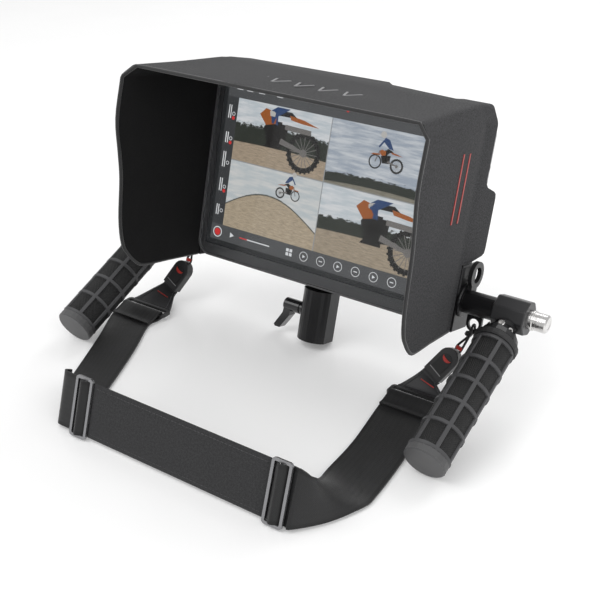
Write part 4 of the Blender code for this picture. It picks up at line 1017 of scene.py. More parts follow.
@dataclass
class Screen:
    """The lit picture behind the glass: panels, four views, their riders and the controls."""

    maker: Maker
    layout: Layout
    left: float = -0.1085
    right: float = 0.1085
    bottom: float = 0.0153
    top: float = 0.1508
    column: float = -0.0970
    middle_x: float = -0.0050
    middle_z: float = 0.0852
    row_bottom: float = 0.0287
    row_top: float = 0.1363
    line: float = 0.0008
    sheet: float = 0.00003
    depths: tuple[float, ...] = (0.00148, 0.00142, 0.00136, 0.00130)

    def build(self) -> None:
        """Makes the whole picture."""
        self._panel("screen_panel", self.left, self.bottom, self.right, self.top, 0, "ui_dark")
        self._panel("screen_top_bar", self.left, self.row_top, self.right, self.top, 1, "ui_bar")
        self._panel("screen_bottom_bar", self.left, self.bottom, self.right, self.row_bottom, 1, "ui_bar")
        half = self.line / 2
        left_end, right_start = self.middle_x - half, self.middle_x + half
        under, over = self.middle_z - half, self.middle_z + half
        views = (
            ("view_upper_left", self.column, over, left_end, self.row_top, "view_a"),
            ("view_upper_right", right_start, over, self.right, self.row_top, "view_b"),
            ("view_lower_left", self.column, self.row_bottom, left_end, under, "view_c"),
            ("view_lower_right", right_start, self.row_bottom, self.right, under, "view_d"),
        )
        for name, x0, z0, x1, z1, look in views:
            self._panel(name, x0, z0, x1, z1, 1, look)
        self._lines()
        self._machine("wheel_upper_left", -0.0275, 0.1035, 0.0158, close=True, mirror=1)
        self._machine("jump_upper_right", 0.057, 0.110, 0.0056, close=False, mirror=1)
        self._machine("jump_lower_left", -0.044, 0.068, 0.0044, close=False, mirror=-1)
        self._machine("wheel_lower_right", 0.0790, 0.0475, 0.0172, close=True, mirror=1)
        self._controls()

    def _put(self, piece: bpy.types.Object, layer: int, look: str) -> None:
        """Lays a flat shape on the picture at one of its layers."""
        settle(piece, face_plate(self.layout.screen(), self.depths[layer]))
        self.maker.finish(piece, "monitor", Slot.DISPLAY, (look,))

    def _panel(self, name: str, x0: float, z0: float, x1: float, z1: float, layer: int, look: str) -> None:
        """A rectangular panel with its own UV map from 0 to 1."""
        put_down()
        bpy.ops.mesh.primitive_grid_add(x_subdivisions=6, y_subdivisions=4, size=1.0)
        piece = named(name)
        piece.data.transform(
            Matrix.Translation(((x0 + x1) / 2, (z0 + z1) / 2, 0)) @ Matrix.Diagonal((x1 - x0, z1 - z0, 1, 1))
        )
        with shaping(piece):
            bpy.ops.mesh.select_all(action="SELECT")
            bpy.ops.mesh.extrude_region_move(TRANSFORM_OT_translate={"value": (0, 0, self.sheet)})
            bpy.ops.mesh.select_all(action="SELECT")
            bpy.ops.mesh.normals_make_consistent(inside=False)
        self._put(piece, layer, look)

    def _lines(self) -> None:
        """The thin pale rules between the four views."""
        upright = ((self.middle_x, self.row_bottom), (self.middle_x, self.row_top))
        level = ((self.column, self.middle_z), (self.right, self.middle_z))
        rules = [bar("rule", *ends, self.line, self.sheet) for ends in (upright, level)]
        self._put(joined("screen_rules", rules), 2, "ui_line")

    def _machine(self, name: str, x: float, z: float, wheel: float, close: bool, mirror: int) -> None:
        """A generic trail bike with a plain rider, cut from flat shapes.

        Args:
            name: The first word of its pieces' names.
            x: The middle of its rear wheel.
            z: The middle of its rear wheel.
            wheel: The radius of the wheel.
            close: Whether only its rear half is in view.
            mirror: 1 if it faces left, or -1 if it faces right.
        """
        r, t = wheel, self.sheet

        def at(u: float, w: float) -> Point:
            """A point ahead of the rear hub and over it, in wheel radii."""
            return (x - mirror * u * r, z + w * r)

        def plate(name: str, *corners: Point) -> bpy.types.Object:
            """A flat shape from its corners, in wheel radii."""
            return cutout(name, [at(u, w) for u, w in corners][::mirror], t)

        rims = [disc("tyre", x, z, r, t, hole=0.74 * r)]
        rims += [
            bar("knob", at(0.96 * cos(a), 0.96 * sin(a)), at(1.06 * cos(a), 1.06 * sin(a)), 0.12 * r, t)
            for a in [i * pi / 12 for i in range(24)]
        ]
        steel = [disc("hub", x, z, 0.20 * r, t)]
        steel += [
            bar("spoke", at(0, 0), at(0.82 * cos(a), 0.82 * sin(a)), 0.035 * r, t)
            for a in [i * pi / 8 for i in range(16)]
        ]
        steel.append(bar("swingarm", at(0, 0), at(1.5, 0.35), 0.16 * r, t, 0.30 * r))
        body = [
            plate("rear_guard", (-0.75, 1.38), (0.3, 1.42), (1.0, 1.5), (1.1, 1.72), (0.2, 1.62)),
            plate("tank", (1.9, 1.15), (2.5, 1.0), (2.95, 1.5), (2.6, 1.85), (1.9, 1.7)),
        ]
        engine = [
            plate("engine", (1.2, 0.1), (2.3, 0.0), (2.6, 0.9), (2.4, 1.2), (1.1, 1.2)),
            plate("seat", (0.6, 1.62), (2.0, 1.6), (2.1, 1.85), (1.0, 1.88)),
        ]
        if not close:
            rims.append(disc("tyre", *at(3.4, 0.05), r, t, hole=0.80 * r))
            steel.append(bar("fork", at(2.85, 1.7), at(3.4, 0.05), 0.16 * r, t))
            body.append(plate("front_guard", (2.7, 1.25), (3.9, 1.15), (4.2, 0.95), (2.8, 1.05)))
            legs = plate("legs", (1.0, 1.9), (1.7, 2.1), (2.2, 1.3), (2.0, 0.4), (1.6, 0.4), (1.7, 1.2))
            engine.append(legs)
            rider = [
                plate("rider", (0.8, 2.0), (1.5, 2.1), (2.6, 3.0), (2.3, 3.5), (1.6, 3.3)),
                bar("arm", at(2.4, 3.1), at(3.1, 2.1), 0.26 * r, t),
            ]
            self._put(joined(f"{name}_rider", rider), 3, "ui_blue")
            self._put(disc(f"{name}_helmet", *at(2.65, 3.85), 0.46 * r, t), 3, "ui_pale")
        else:
            engine.append(plate("boot", (1.5, 1.3), (2.3, 1.3), (2.2, 0.3), (2.5, -0.1), (1.4, -0.1)))
            steel.append(bar("silencer", at(-0.3, 1.05), at(1.3, 1.1), 0.26 * r, t))
            trousers = ((1.1, 2.02), (1.9, 2.02), (2.3, 1.75), (2.15, 1.15), (1.75, 1.1), (1.8, 1.55))
            self._put(joined(f"{name}_rider", [plate("trousers", *trousers)]), 3, "ui_blue")
            knee = plate("knee", (1.95, 1.85), (2.35, 1.75), (2.3, 1.5), (2.0, 1.5))
            self._put(joined(f"{name}_pads", [knee]), 3, "ui_pale")
        self._put(joined(f"{name}_tyres", rims), 2, "ui_tyre")
        self._put(joined(f"{name}_steel", steel), 3, "ui_steel")
        self._put(joined(f"{name}_engine", engine), 2, "ui_tyre")
        self._put(joined(f"{name}_panels", body), 3, "ui_orange")

    def _controls(self) -> None:
        """The plain signs of the bars: rings, a triangle, four squares, a scale, and the level meters."""
        t, z = self.sheet, (self.bottom + self.row_bottom) / 2
        light = [
            disc("ring", -0.1015, z, 0.0046, t, hole=0.0038),
            cutout("start", [(-0.088, z - 0.0022), (-0.084, z), (-0.088, z + 0.0022)], t),
            bar("scale", (-0.078, z), (-0.047, z), 0.0009, t),
        ]
        side = 0.0026
        light += [
            cutout("square", [(x, y), (x + side, y), (x + side, y + side), (x, y + side)], t)
            for x in (-0.0300, -0.0266) for y in (z - 0.0030, z + 0.0004)
        ]
        for i in range(6):
            x = -0.0125 + 0.0165 * i
            light.append(disc("ring", x, z, 0.0040, t, hole=0.0035))
            if i % 2:
                light.append(bar("mark", (x - 0.0016, z), (x + 0.0016, z), 0.0008, t))
            else:
                light.append(
                    cutout("mark", [(x - 0.001, z - 0.0014), (x + 0.0016, z), (x - 0.001, z + 0.0014)], t)
                )
        for x in (0.088, 0.100):
            light.append(disc("ring", x, 0.1436, 0.0026, t, hole=0.0021))
        light += [
            bar("reading", (x, 0.1436), (x + 0.006, 0.1436), 0.0013, t)
            for x in (-0.100, -0.090, -0.078, -0.060)
        ]
        for i in range(5):
            y = 0.0365 + i * 0.0205
            light += [
                bar("meter", (x, y), (x, y + 0.009 + 0.002 * (i % 3)), 0.0009, t) for x in (-0.1055, -0.1035)
            ]
            light.append(disc("sign", -0.1005, y + 0.004, 0.0016, t, hole=0.0011))
        self._put(joined("screen_signs", light), 2, "ui_light")
        red = [
            disc("record", -0.1015, z, 0.0030, t), disc("record", 0.0865, z, 0.0026, t),
            bar("played", (-0.078, z), (-0.070, z), 0.0009, t),
        ]
        red += [disc("level", -0.1005, y, 0.0015, t) for y in (0.0575, 0.0985, 0.1190)]
        red += [disc("tally", 0.0075, 0.1436, 0.0012, t)]
        self._put(joined("screen_red_signs", red), 3, "ui_red")


# Sun hood


@dataclass
class SunHood:
    """One sheet of stiffened fabric, folded over the screen into roof, folds and sides, with its binding."""

    maker: Maker
    layout: Layout
    half_width: float = 0.1235
    roof_half: float = 0.1170
    height: float = 0.1675
    side_top: float = 0.1550
    depth: float = 0.1055
    flare: float = 0.0080
    roof_front: float = 0.1005
    front_roof_half: float = 0.1228
    front_roof_drop: float = 0.0120
    front_side_drop: float = 0.0210
    thickness: float = 0.0022
    fold_round: float = 0.0024
    cell: float = 0.0055
    seam_reach: float = 0.0030
    seam_sink: float = 0.0005
    side_seam_sink: float = 0.0003
    swell: float = 0.0009
    binding_radius: float = 0.00145
    stroke_height: float = 0.0006
    edge: tuple[Point, ...] = (
        (0.992, 0.872), (1.000, 0.685), (0.945, 0.530), (0.900, 0.400), (0.868, 0.206),
        (0.815, 0.079), (0.740, 0.020), (0.660, -0.020), (0.569, -0.039), (0.300, -0.027),
    )
    side_back: tuple[Point, ...] = (
        (0.0045, -0.0025), (0.0045, 0.050), (0.0212, 0.050), (0.0380, 0.0528), (0.0415, 0.0545),
        (0.0425, 0.0580), (0.0425, 0.0975), (0.0414, 0.1010), (0.0380, 0.1030), (0.0240, 0.1068),
        (0.0208, 0.1095), (0.020, 0.1130),
    )
    roof_back: tuple[Point, ...] = (
        (0.1166, 0.0201), (0.0933, 0.0201), (0.0933, 0.0051), (0.0268, 0.0291), (0.0082, 0.0579),
        (-0.1166, 0.0339), (-0.1170, 0.0201),
    )
    nodes: tuple[str, ...] = (
        "hood_roof", "hood_corner_left", "hood_corner_right", "hood_side_left", "hood_side_right",
    )

    @property
    def fold(self) -> float:
        """The width of the bevelled fold behind the crease."""
        return hypot(self.half_width - self.roof_half, self.height - self.side_top)

    @property
    def front_corner(self) -> list[Point]:
        """Where the roof's front edge turns down the fold, on the flat cut."""
        return [(self.roof_half * 0.985, -self.roof_front), (self.roof_half + self.fold, -0.1040)]

    def bent(self, across: float, y: float) -> Vector:
        """Where a point of the flat cut comes to lie on the folded hood.

        Args:
            across: Distance from the middle of the roof, measured on the cloth.
            y: Depth, with the screen's face at 0.

        Returns:
            The point in the screen's frame.
        """
        total = Vector((0.0, 0.0, 0.0))
        offsets = (-1.0, -0.6, -0.2, 0.2, 0.6, 1.0)
        for offset in offsets:
            total += self._sharp(across + offset * self.fold_round, y)
        return total / len(offsets)

    def _sharp(self, across: float, y: float) -> Vector:
        """The same with sharp folds."""
        sign, s = (1 if across >= 0 else -1), abs(across)
        ahead = max(0.0, -y)
        roof_x = self.roof_half + (self.front_roof_half - self.roof_half) * ahead / self.roof_front
        roof_z = self.height - self.front_roof_drop * ahead / self.roof_front
        side_x = self.half_width + self.flare * ahead / self.depth
        side_z = self.side_top - (self.front_side_drop - (self.height - self.side_top)) * ahead / self.depth
        if s <= self.roof_half:
            return Vector((sign * roof_x * s / self.roof_half, y, roof_z))
        if s <= self.roof_half + self.fold:
            t = (s - self.roof_half) / self.fold
            return Vector((sign * (roof_x + (side_x - roof_x) * t), y, roof_z + (side_z - roof_z) * t))
        down = s - self.roof_half - self.fold
        return Vector((sign * side_x, y, side_z - down))

    def _side_across(self, y: float, z: float) -> float:
        """The distance on the cloth, from the middle of the roof, of a point of a side."""
        drop = self.front_side_drop - (self.height - self.side_top)
        side_z = self.side_top - drop * max(0.0, -y) / self.depth
        return self.roof_half + self.fold + side_z - z

    def _outward(self, across: float) -> Vector:
        """The way out of the cloth: sideways on the sides, and up on the roof and its folds."""
        if abs(across) > self.roof_half + self.fold:
            return Vector((1 if across > 0 else -1, 0, 0))
        return Vector((0, 0, 1))

    def _free_edge(self, steps: int) -> list[Point]:
        """The side's front and lower edge on the flat cut, with so many steps to each of its stretches."""
        corners = [Vector((-y * self.depth, z * self.layout.screen_height, 0.0)) for y, z in self.edge]
        return [(self._side_across(p.x, p.y), p.x) for p in smooth_route(corners, steps)]

    def pattern(self) -> list[Point]:
        """The outline of the flat cut: (across, depth), from the roof's front middle round to it again."""
        side = [*self._free_edge(3), *((self._side_across(y, z), y) for y, z in self.side_back)]
        right = [*self.front_corner, *side, (self.roof_half + self.fold + 0.002, 0.020)]
        left = [(-x, y) for x, y in reversed(right)]
        return [*right, *self.roof_back, *left]

    def build(self) -> None:
        """Makes the hood and its binding."""
        pattern = self.pattern()
        shell = self._shell(pattern)
        binding = self._binding()
        marks = [self._roof_lines(), self._side_mark(Side.RIGHT)]

    def _shell(self, pattern: Sequence[Point]) -> bpy.types.Object:
        """The folded sheet, from its flat cut."""
        mesh = bmesh.new()
        mesh.faces.new([mesh.verts.new((x, y, 0.0)) for x, y in pattern]).normal_update()
        if mesh.faces[:][0].normal.z < 0:
            bmesh.ops.reverse_faces(mesh, faces=mesh.faces[:])
        lines = [(axis, i * self.cell) for axis in (0, 1) for i in range(-50, 51)]
        for fold in (self.roof_half, self.roof_half + self.fold):
            lines += [
                (0, sign * (fold + k * self.fold_round))
                for sign in (-1, 1) for k in (-1.0, -0.5, 0.0, 0.5, 1.0)
            ]
        for axis, value in lines:
            normal = Vector((1, 0, 0)) if axis == 0 else Vector((0, 1, 0))
            bmesh.ops.bisect_plane(
                mesh, geom=mesh.verts[:] + mesh.edges[:] + mesh.faces[:], plane_co=normal * value,
                plane_no=normal, dist=1e-5,
            )
        bmesh.ops.remove_doubles(mesh, verts=mesh.verts, dist=0.0004)
        uv = mesh.loops.layers.uv.new("cloth")
        for face in mesh.faces:
            for loop in face.loops:
                loop[uv].uv = loop.vert.co.xy
        place = self.layout.screen()
        for vert in mesh.verts:
            across, y = vert.co.x, vert.co.y
            spot = self.bent(across, y)
            loose = min(1.0, max(0.0, -y) / 0.05)
            swell = self.swell * loose * noise.noise(Vector((across * 22, y * 22, 0.3)))
            sink = self.seam_sink if abs(across) < 0.14 else self.side_seam_sink
            crease = -sink * max(0.0, 1 - abs(y) / self.seam_reach)
            vert.co = place @ (spot + self._outward(across) * (swell + crease))
        data = bpy.data.meshes.new("sun_hood")
        mesh.to_mesh(data)
        mesh.free()
        shell = bpy.data.objects.new("sun_hood", data)
        bpy.context.scene.collection.objects.link(shell)
        for look in (Slot.HOOD, "lining", "binding"):
            data.materials.append(self.maker.paints.get(look))
        apply_modifier(
            shell, "SOLIDIFY", thickness=self.thickness, offset=-1.0, use_even_offset=True, material_offset=1,
            material_offset_rim=2,
        )
        middle = place @ Vector((0.0, -0.04, 0.08))
        facing = sum(
            (face.center - middle).dot(face.normal)
            for face in shell.data.polygons if face.material_index == 0
        )
        faces = (Slot.HOOD, "lining") if facing > 0 else ("lining", Slot.HOOD)
        return self.maker.finish(shell, "monitor", Slot.HOOD, (*faces, "binding"), self.nodes, smooth=50.0)

    def _binding(self) -> bpy.types.Object:
        """The narrow tape sewn round the front and lower edges."""
        front = [(self.roof_half * i / 12, -self.roof_front) for i in range(12)]
        lowest = (self._side_across(0.004, -0.0025), 0.004)
        half = [*front, *self.front_corner, *self._free_edge(4), lowest]
        flat = [*[(-x, y) for x, y in reversed(half[1:])], *half]
        place = self.layout.screen()
        points = []
        for across, y in flat:
            spot = self.bent(across, y)
            inward = -self._outward(across)
            if self.roof_half < abs(across) <= self.roof_half + self.fold:
                inward = Vector((-1 if across > 0 else 1, 0, -1)).normalized()
            points.append(place @ (spot + inward * self.thickness / 2))
        tape = rod("hood_binding", points, self.binding_radius)
        return self.maker.finish(tape, "monitor", Slot.HOOD, ("binding",), smooth=60.0)

    def _roof_lines(self) -> bpy.types.Object:
        """A plain sewn chevron pattern on the roof, in place of a printed name."""
        place = self.layout.screen()
        bars = []
        for i in range(5):
            x = -0.045 + 0.020 * i
            bars.append(self._stroke([(x, -0.052), (x + 0.006, -0.068), (x + 0.012, -0.052)]))
        piece = joined("roof_stitching", bars)
        settle(piece, place)
        return self.maker.finish(piece, "monitor", Slot.HOOD, ("pale_line",), smooth=40.0)

    def _stroke(self, corners: Sequence[Point], width: float = 0.0016) -> bpy.types.Object:
        """A raised stroke on the cloth through points of the flat cut."""
        points = [Vector(c) for c in corners]
        bars = [
            bar("stroke", tuple(a), tuple(b), width, self.stroke_height)
            for a, b in zip(points, points[1:])
        ]
        piece = joined("stroke", bars)
        for vert in piece.data.vertices:
            spot = self.bent(vert.co.x, vert.co.y)
            vert.co = spot + self._outward(vert.co.x) * (vert.co.z - 0.0002)
        return piece

    def _side_mark(self, side: Side) -> bpy.types.Object:
        """Two plain red stitched stripes, side by side, on the side panel."""
        k = side.value
        stripes = []
        for y in (-0.0360, -0.0240):
            ends = [(k * self._side_across(y, z), y) for z in (0.0840, 0.1000, 0.1170, 0.1340)]
            stripes.append(self._stroke(ends, 0.0020))
        piece = joined(f"side_stripes_{side.tag}", stripes)
        with shaping(piece):
            bpy.ops.mesh.select_all(action="SELECT")
            bpy.ops.mesh.normals_make_consistent(inside=False)
        settle(piece, self.layout.screen())
        return self.maker.finish(piece, "monitor", Slot.HOOD, ("red",), smooth=40.0)


def rod(name: str, points: Sequence[Vector], radius: float, rings: int = 8) -> bpy.types.Object:
    """A round rod or braid along points, as a mesh with a UV map in metres.

    Args:
        name: The piece's name.
        points: Its middle line.
        radius: Its radius.
        rings: How many sides it has.

    Returns:
        The piece.
    """
    mesh = bmesh.new()
    uv = mesh.loops.layers.uv.new("length")
    count = len(points)
    sections, lengths, travelled = [], [], 0.0
    normal = None
    for i, point in enumerate(points):
        before = points[max(0, i - 1)]
        after = points[min(count - 1, i + 1)]
        along = (after - before).normalized()
        if normal is None:
            normal = along.orthogonal().normalized()
        normal = (normal - along * normal.dot(along)).normalized()
        across = along.cross(normal)
        sections.append([
            mesh.verts.new(
                point + radius * (normal * cos(2 * pi * k / rings) + across * sin(2 * pi * k / rings))
            )
            for k in range(rings)
        ])
        if i:
            travelled += (point - points[i - 1]).length
        lengths.append(travelled)
    for a, b in zip(range(count), range(1, count)):
        for k in range(rings):
            j = (k + 1) % rings
            face = mesh.faces.new((sections[a][k], sections[a][j], sections[b][j], sections[b][k]))
            corners = ((k, lengths[a]), (k + 1, lengths[a]), (k + 1, lengths[b]), (k, lengths[b]))
            for loop, (step, length) in zip(face.loops, corners):
                loop[uv].uv = (step * 2 * pi * radius / rings, length)
    mesh.faces.new(reversed(sections[0]))
    mesh.faces.new(sections[-1])
    bmesh.ops.recalc_face_normals(mesh, faces=mesh.faces)
    data = bpy.data.meshes.new(name)
    mesh.to_mesh(data)
    mesh.free()
    piece = bpy.data.objects.new(name, data)
    bpy.context.scene.collection.objects.link(piece)
    return piece


# Grips and their joints


@dataclass
class Grip:
    """One hand grip: a ribbed rubber sleeve over its core, its push button and its neck screws."""

    maker: Maker
    layout: Layout
    side: Side
    middle: float = 0.1651
    sleeve_start: float = 0.0333
    sleeve_length: float = 0.1027
    radius: float = 0.0164
    bore: float = 0.0103
    sides: int = 96
    ribs: int = 6
    rows: int = 5
    rib_half: float = 0.0009
    panel_depth: float = 0.0010
    shoulder: float = 0.0008
    screws_out: float = 0.0213
    screws_up: float = 0.0124
    screw: tuple[Point, ...] = (
        (-0.0012, 0.0), (-0.0012, 0.0019), (0.0006, 0.0019), (0.0009, 0.0016), (0.0009, 0.0010),
        (0.0002, 0.0010), (0.0002, 0.0),
    )

    def build(self) -> None:
        """Makes the sleeve, the button and the screws."""
        self._sleeve()
        self._button()
        self._neck_screws()

    def _stations(self) -> list[tuple[float, bool]]:
        """Heights along the sleeve, each with whether a panel starts there."""
        first, last = 0.0028, self.sleeve_length - 0.0020
        stations = [(0.0, False), (first, True)]
        for i in range(1, self.rows):
            middle = first + i * (last - first) / self.rows
            stations += [(middle - self.rib_half, False), (middle + self.rib_half, True)]
        return [*stations, (last, False), (self.sleeve_length, False)]

    def _sleeve(self) -> None:
        """The sleeve: a tube drawn out ring by ring, its panels then set in between the ribs."""
        stations = self._stations()
        piece = self._tube(stations)
        panels = self._set_in_panels(piece, stations)
        for look in (Slot.RUBBER, "knurl"):
            piece.data.materials.append(self.maker.paints.get(look))
        for index in panels:
            piece.data.polygons[index].material_index = 1
        self._unroll(piece)
        on_joint = Matrix.Translation((self.side.value * self.middle, -self.sleeve_start, 0))
        settle(piece, self.layout.handle(self.side) @ on_joint @ Matrix.Rotation(pi / 2, 4, "X"))
        self.maker.finish(
            piece, f"handle_{self.side.tag}", Slot.RUBBER, (Slot.RUBBER, "knurl"),
            (f"grip_sleeve_{self.side.tag}",), smooth=32.0,
        )

    def _tube(self, stations: Sequence[tuple[float, bool]]) -> bpy.types.Object:
        """The plain tube, with a ring of points at each station and a stepped shoulder at both ends."""
        put_down()
        bpy.ops.mesh.primitive_circle_add(vertices=self.sides, radius=self.bore, fill_type="NOTHING")
        piece = named(f"grip_rubber_{self.side.tag}")
        with shaping(piece, "EDGE"):
            bpy.ops.mesh.select_all(action="SELECT")
            bpy.ops.mesh.extrude_edges_move()
            grow = (self.radius - self.shoulder) / self.bore
            bpy.ops.transform.resize(value=(grow, grow, 1.0), center_override=(0, 0, 0))
            for (low, _), (high, _) in zip(stations, stations[1:]):
                bpy.ops.mesh.extrude_edges_move(TRANSFORM_OT_translate={"value": (0, 0, high - low)})
            bpy.ops.mesh.extrude_edges_move()
            bpy.ops.transform.resize(
                value=(1 / grow, 1 / grow, 1.0), center_override=(0, 0, self.sleeve_length),
            )
            bpy.ops.mesh.extrude_edges_move(TRANSFORM_OT_translate={"value": (0, 0, -self.sleeve_length)})
            bpy.ops.mesh.select_all(action="SELECT")
            bpy.ops.mesh.remove_doubles(threshold=1e-6)
            bpy.ops.mesh.normals_make_consistent(inside=False)
        for vert in piece.data.vertices:
            around = hypot(vert.co.x, vert.co.y)
            if around > self.bore + 0.001 and 0.001 < vert.co.z < self.sleeve_length - 0.001:
                vert.co.x *= self.radius / around
                vert.co.y *= self.radius / around
        return piece

    def _set_in_panels(self, piece: bpy.types.Object, stations: Sequence[tuple[float, bool]]) -> list[int]:
        """Sets the panels in between the ribs.

        Args:
            piece: The plain tube.
            stations: The tube's stations.

        Returns:
            The numbers of the panels' floor faces.
        """
        starts = [(low, high) for (low, panel), (high, _) in zip(stations, stations[1:]) if panel]
        with shaping(piece):
            per_rib = 2 * pi / self.ribs
            rib_angle = 0.9 * 2 * pi / self.sides

            def in_panel(middle: Vector, normal: Vector) -> bool:
                """Whether an outer face lies between two ribs and two rings."""
                if hypot(middle.x, middle.y) < self.radius - 0.002 or abs(normal.z) > 0.5:
                    return False
                angle = (atan2(middle.y, middle.x) + 4 * pi) % per_rib
                clear = min(angle, per_rib - angle) > rib_angle
                return clear and any(low < middle.z < high for low, high in starts)

            count = pick(piece, in_panel)
            bpy.ops.mesh.inset(thickness=0.00025, depth=0.0, use_boundary=True)
            bpy.ops.mesh.inset(thickness=0.0004, depth=-self.panel_depth)
            mesh = bmesh.from_edit_mesh(piece.data)
            panels = [face.index for face in mesh.faces if face.select]
        log.info("grip panels on the %s: %d faces", self.side.tag, count)
        return panels

    def _unroll(self, piece: bpy.types.Object) -> None:
        """Gives the tube a UV map in metres: round it, and along it."""
        uv = piece.data.uv_layers.new(name="round") if not piece.data.uv_layers else piece.data.uv_layers[0]
        for polygon in piece.data.polygons:
            first = None
            for index in polygon.loop_indices:
                spot = piece.data.vertices[piece.data.loops[index].vertex_index].co
                angle = atan2(spot.y, spot.x)
                if first is None:
                    first = angle
                while angle - first > pi:
                    angle -= 2 * pi
                while angle - first < -pi:
                    angle += 2 * pi
                uv.data[index].uv = (angle * self.radius, spot.z)

    def _neck_screws(self) -> None:
        """Two bright cap screws beside the middle one, each with a chamfered rim and a sunk round socket."""
        heads = []
        for angle in (-42, 42):
            head = turned("screw", self.screw, 20)
            lean = Matrix.Rotation(radians(angle), 4, "Y")
            head.data.transform(lean @ Matrix.Translation((0, 0, self.screws_up)))
            heads.append(head)
        piece = joined(f"neck_side_screws_{self.side.tag}", heads)
        on_neck = Matrix.Translation((self.side.value * self.middle, -self.screws_out, 0.0))
        settle(piece, self.layout.handle(self.side) @ on_neck)
        self.maker.finish(piece, f"handle_{self.side.tag}", Slot.CHROME, (), smooth=30.0)

    def _button(self) -> None:
        """The turned push button: bored for the spindle, with a lip, a flange and a bevelled cap."""
        low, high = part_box(f"release_button_{self.side.tag}")
        length = high.x - low.x
        profile = [
            (0.0060, 0.0), (0.0060, 0.0056), (0.0, 0.0056), (0.0, 0.0083), (0.0015, 0.0083),
            (0.0015, 0.0070), (0.0078, 0.0070), (0.0078, 0.0074), (0.0082, 0.0078), (0.0092, 0.0078),
            (0.0096, 0.0074), (0.0096, 0.0070), (length - 0.0086, 0.0070), (length - 0.0084, 0.0067),
            (length - 0.0079, 0.0067), (length - 0.0077, 0.0070), (length - 0.0012, 0.0070),
            (length - 0.0003, 0.0061), (length, 0.0056), (length, 0.0040), (length - 0.0003, 0.0036),
            (length - 0.0003, 0.0),
        ]
        piece = turned(f"push_button_{self.side.tag}", profile, 40)
        axis = self.layout.handle(self.side).translation
        inner = low.x if self.side is Side.RIGHT else high.x
        turn = Matrix.Rotation(self.side.value * pi / 2, 4, "Y")
        settle(piece, Matrix.Translation((inner, axis.y, axis.z)) @ turn)
        node = f"release_button_{self.side.tag}"
        self.maker.finish(piece, f"button_{self.side.tag}", Slot.CHROME, (), (node,), smooth=28.0)


# Strap


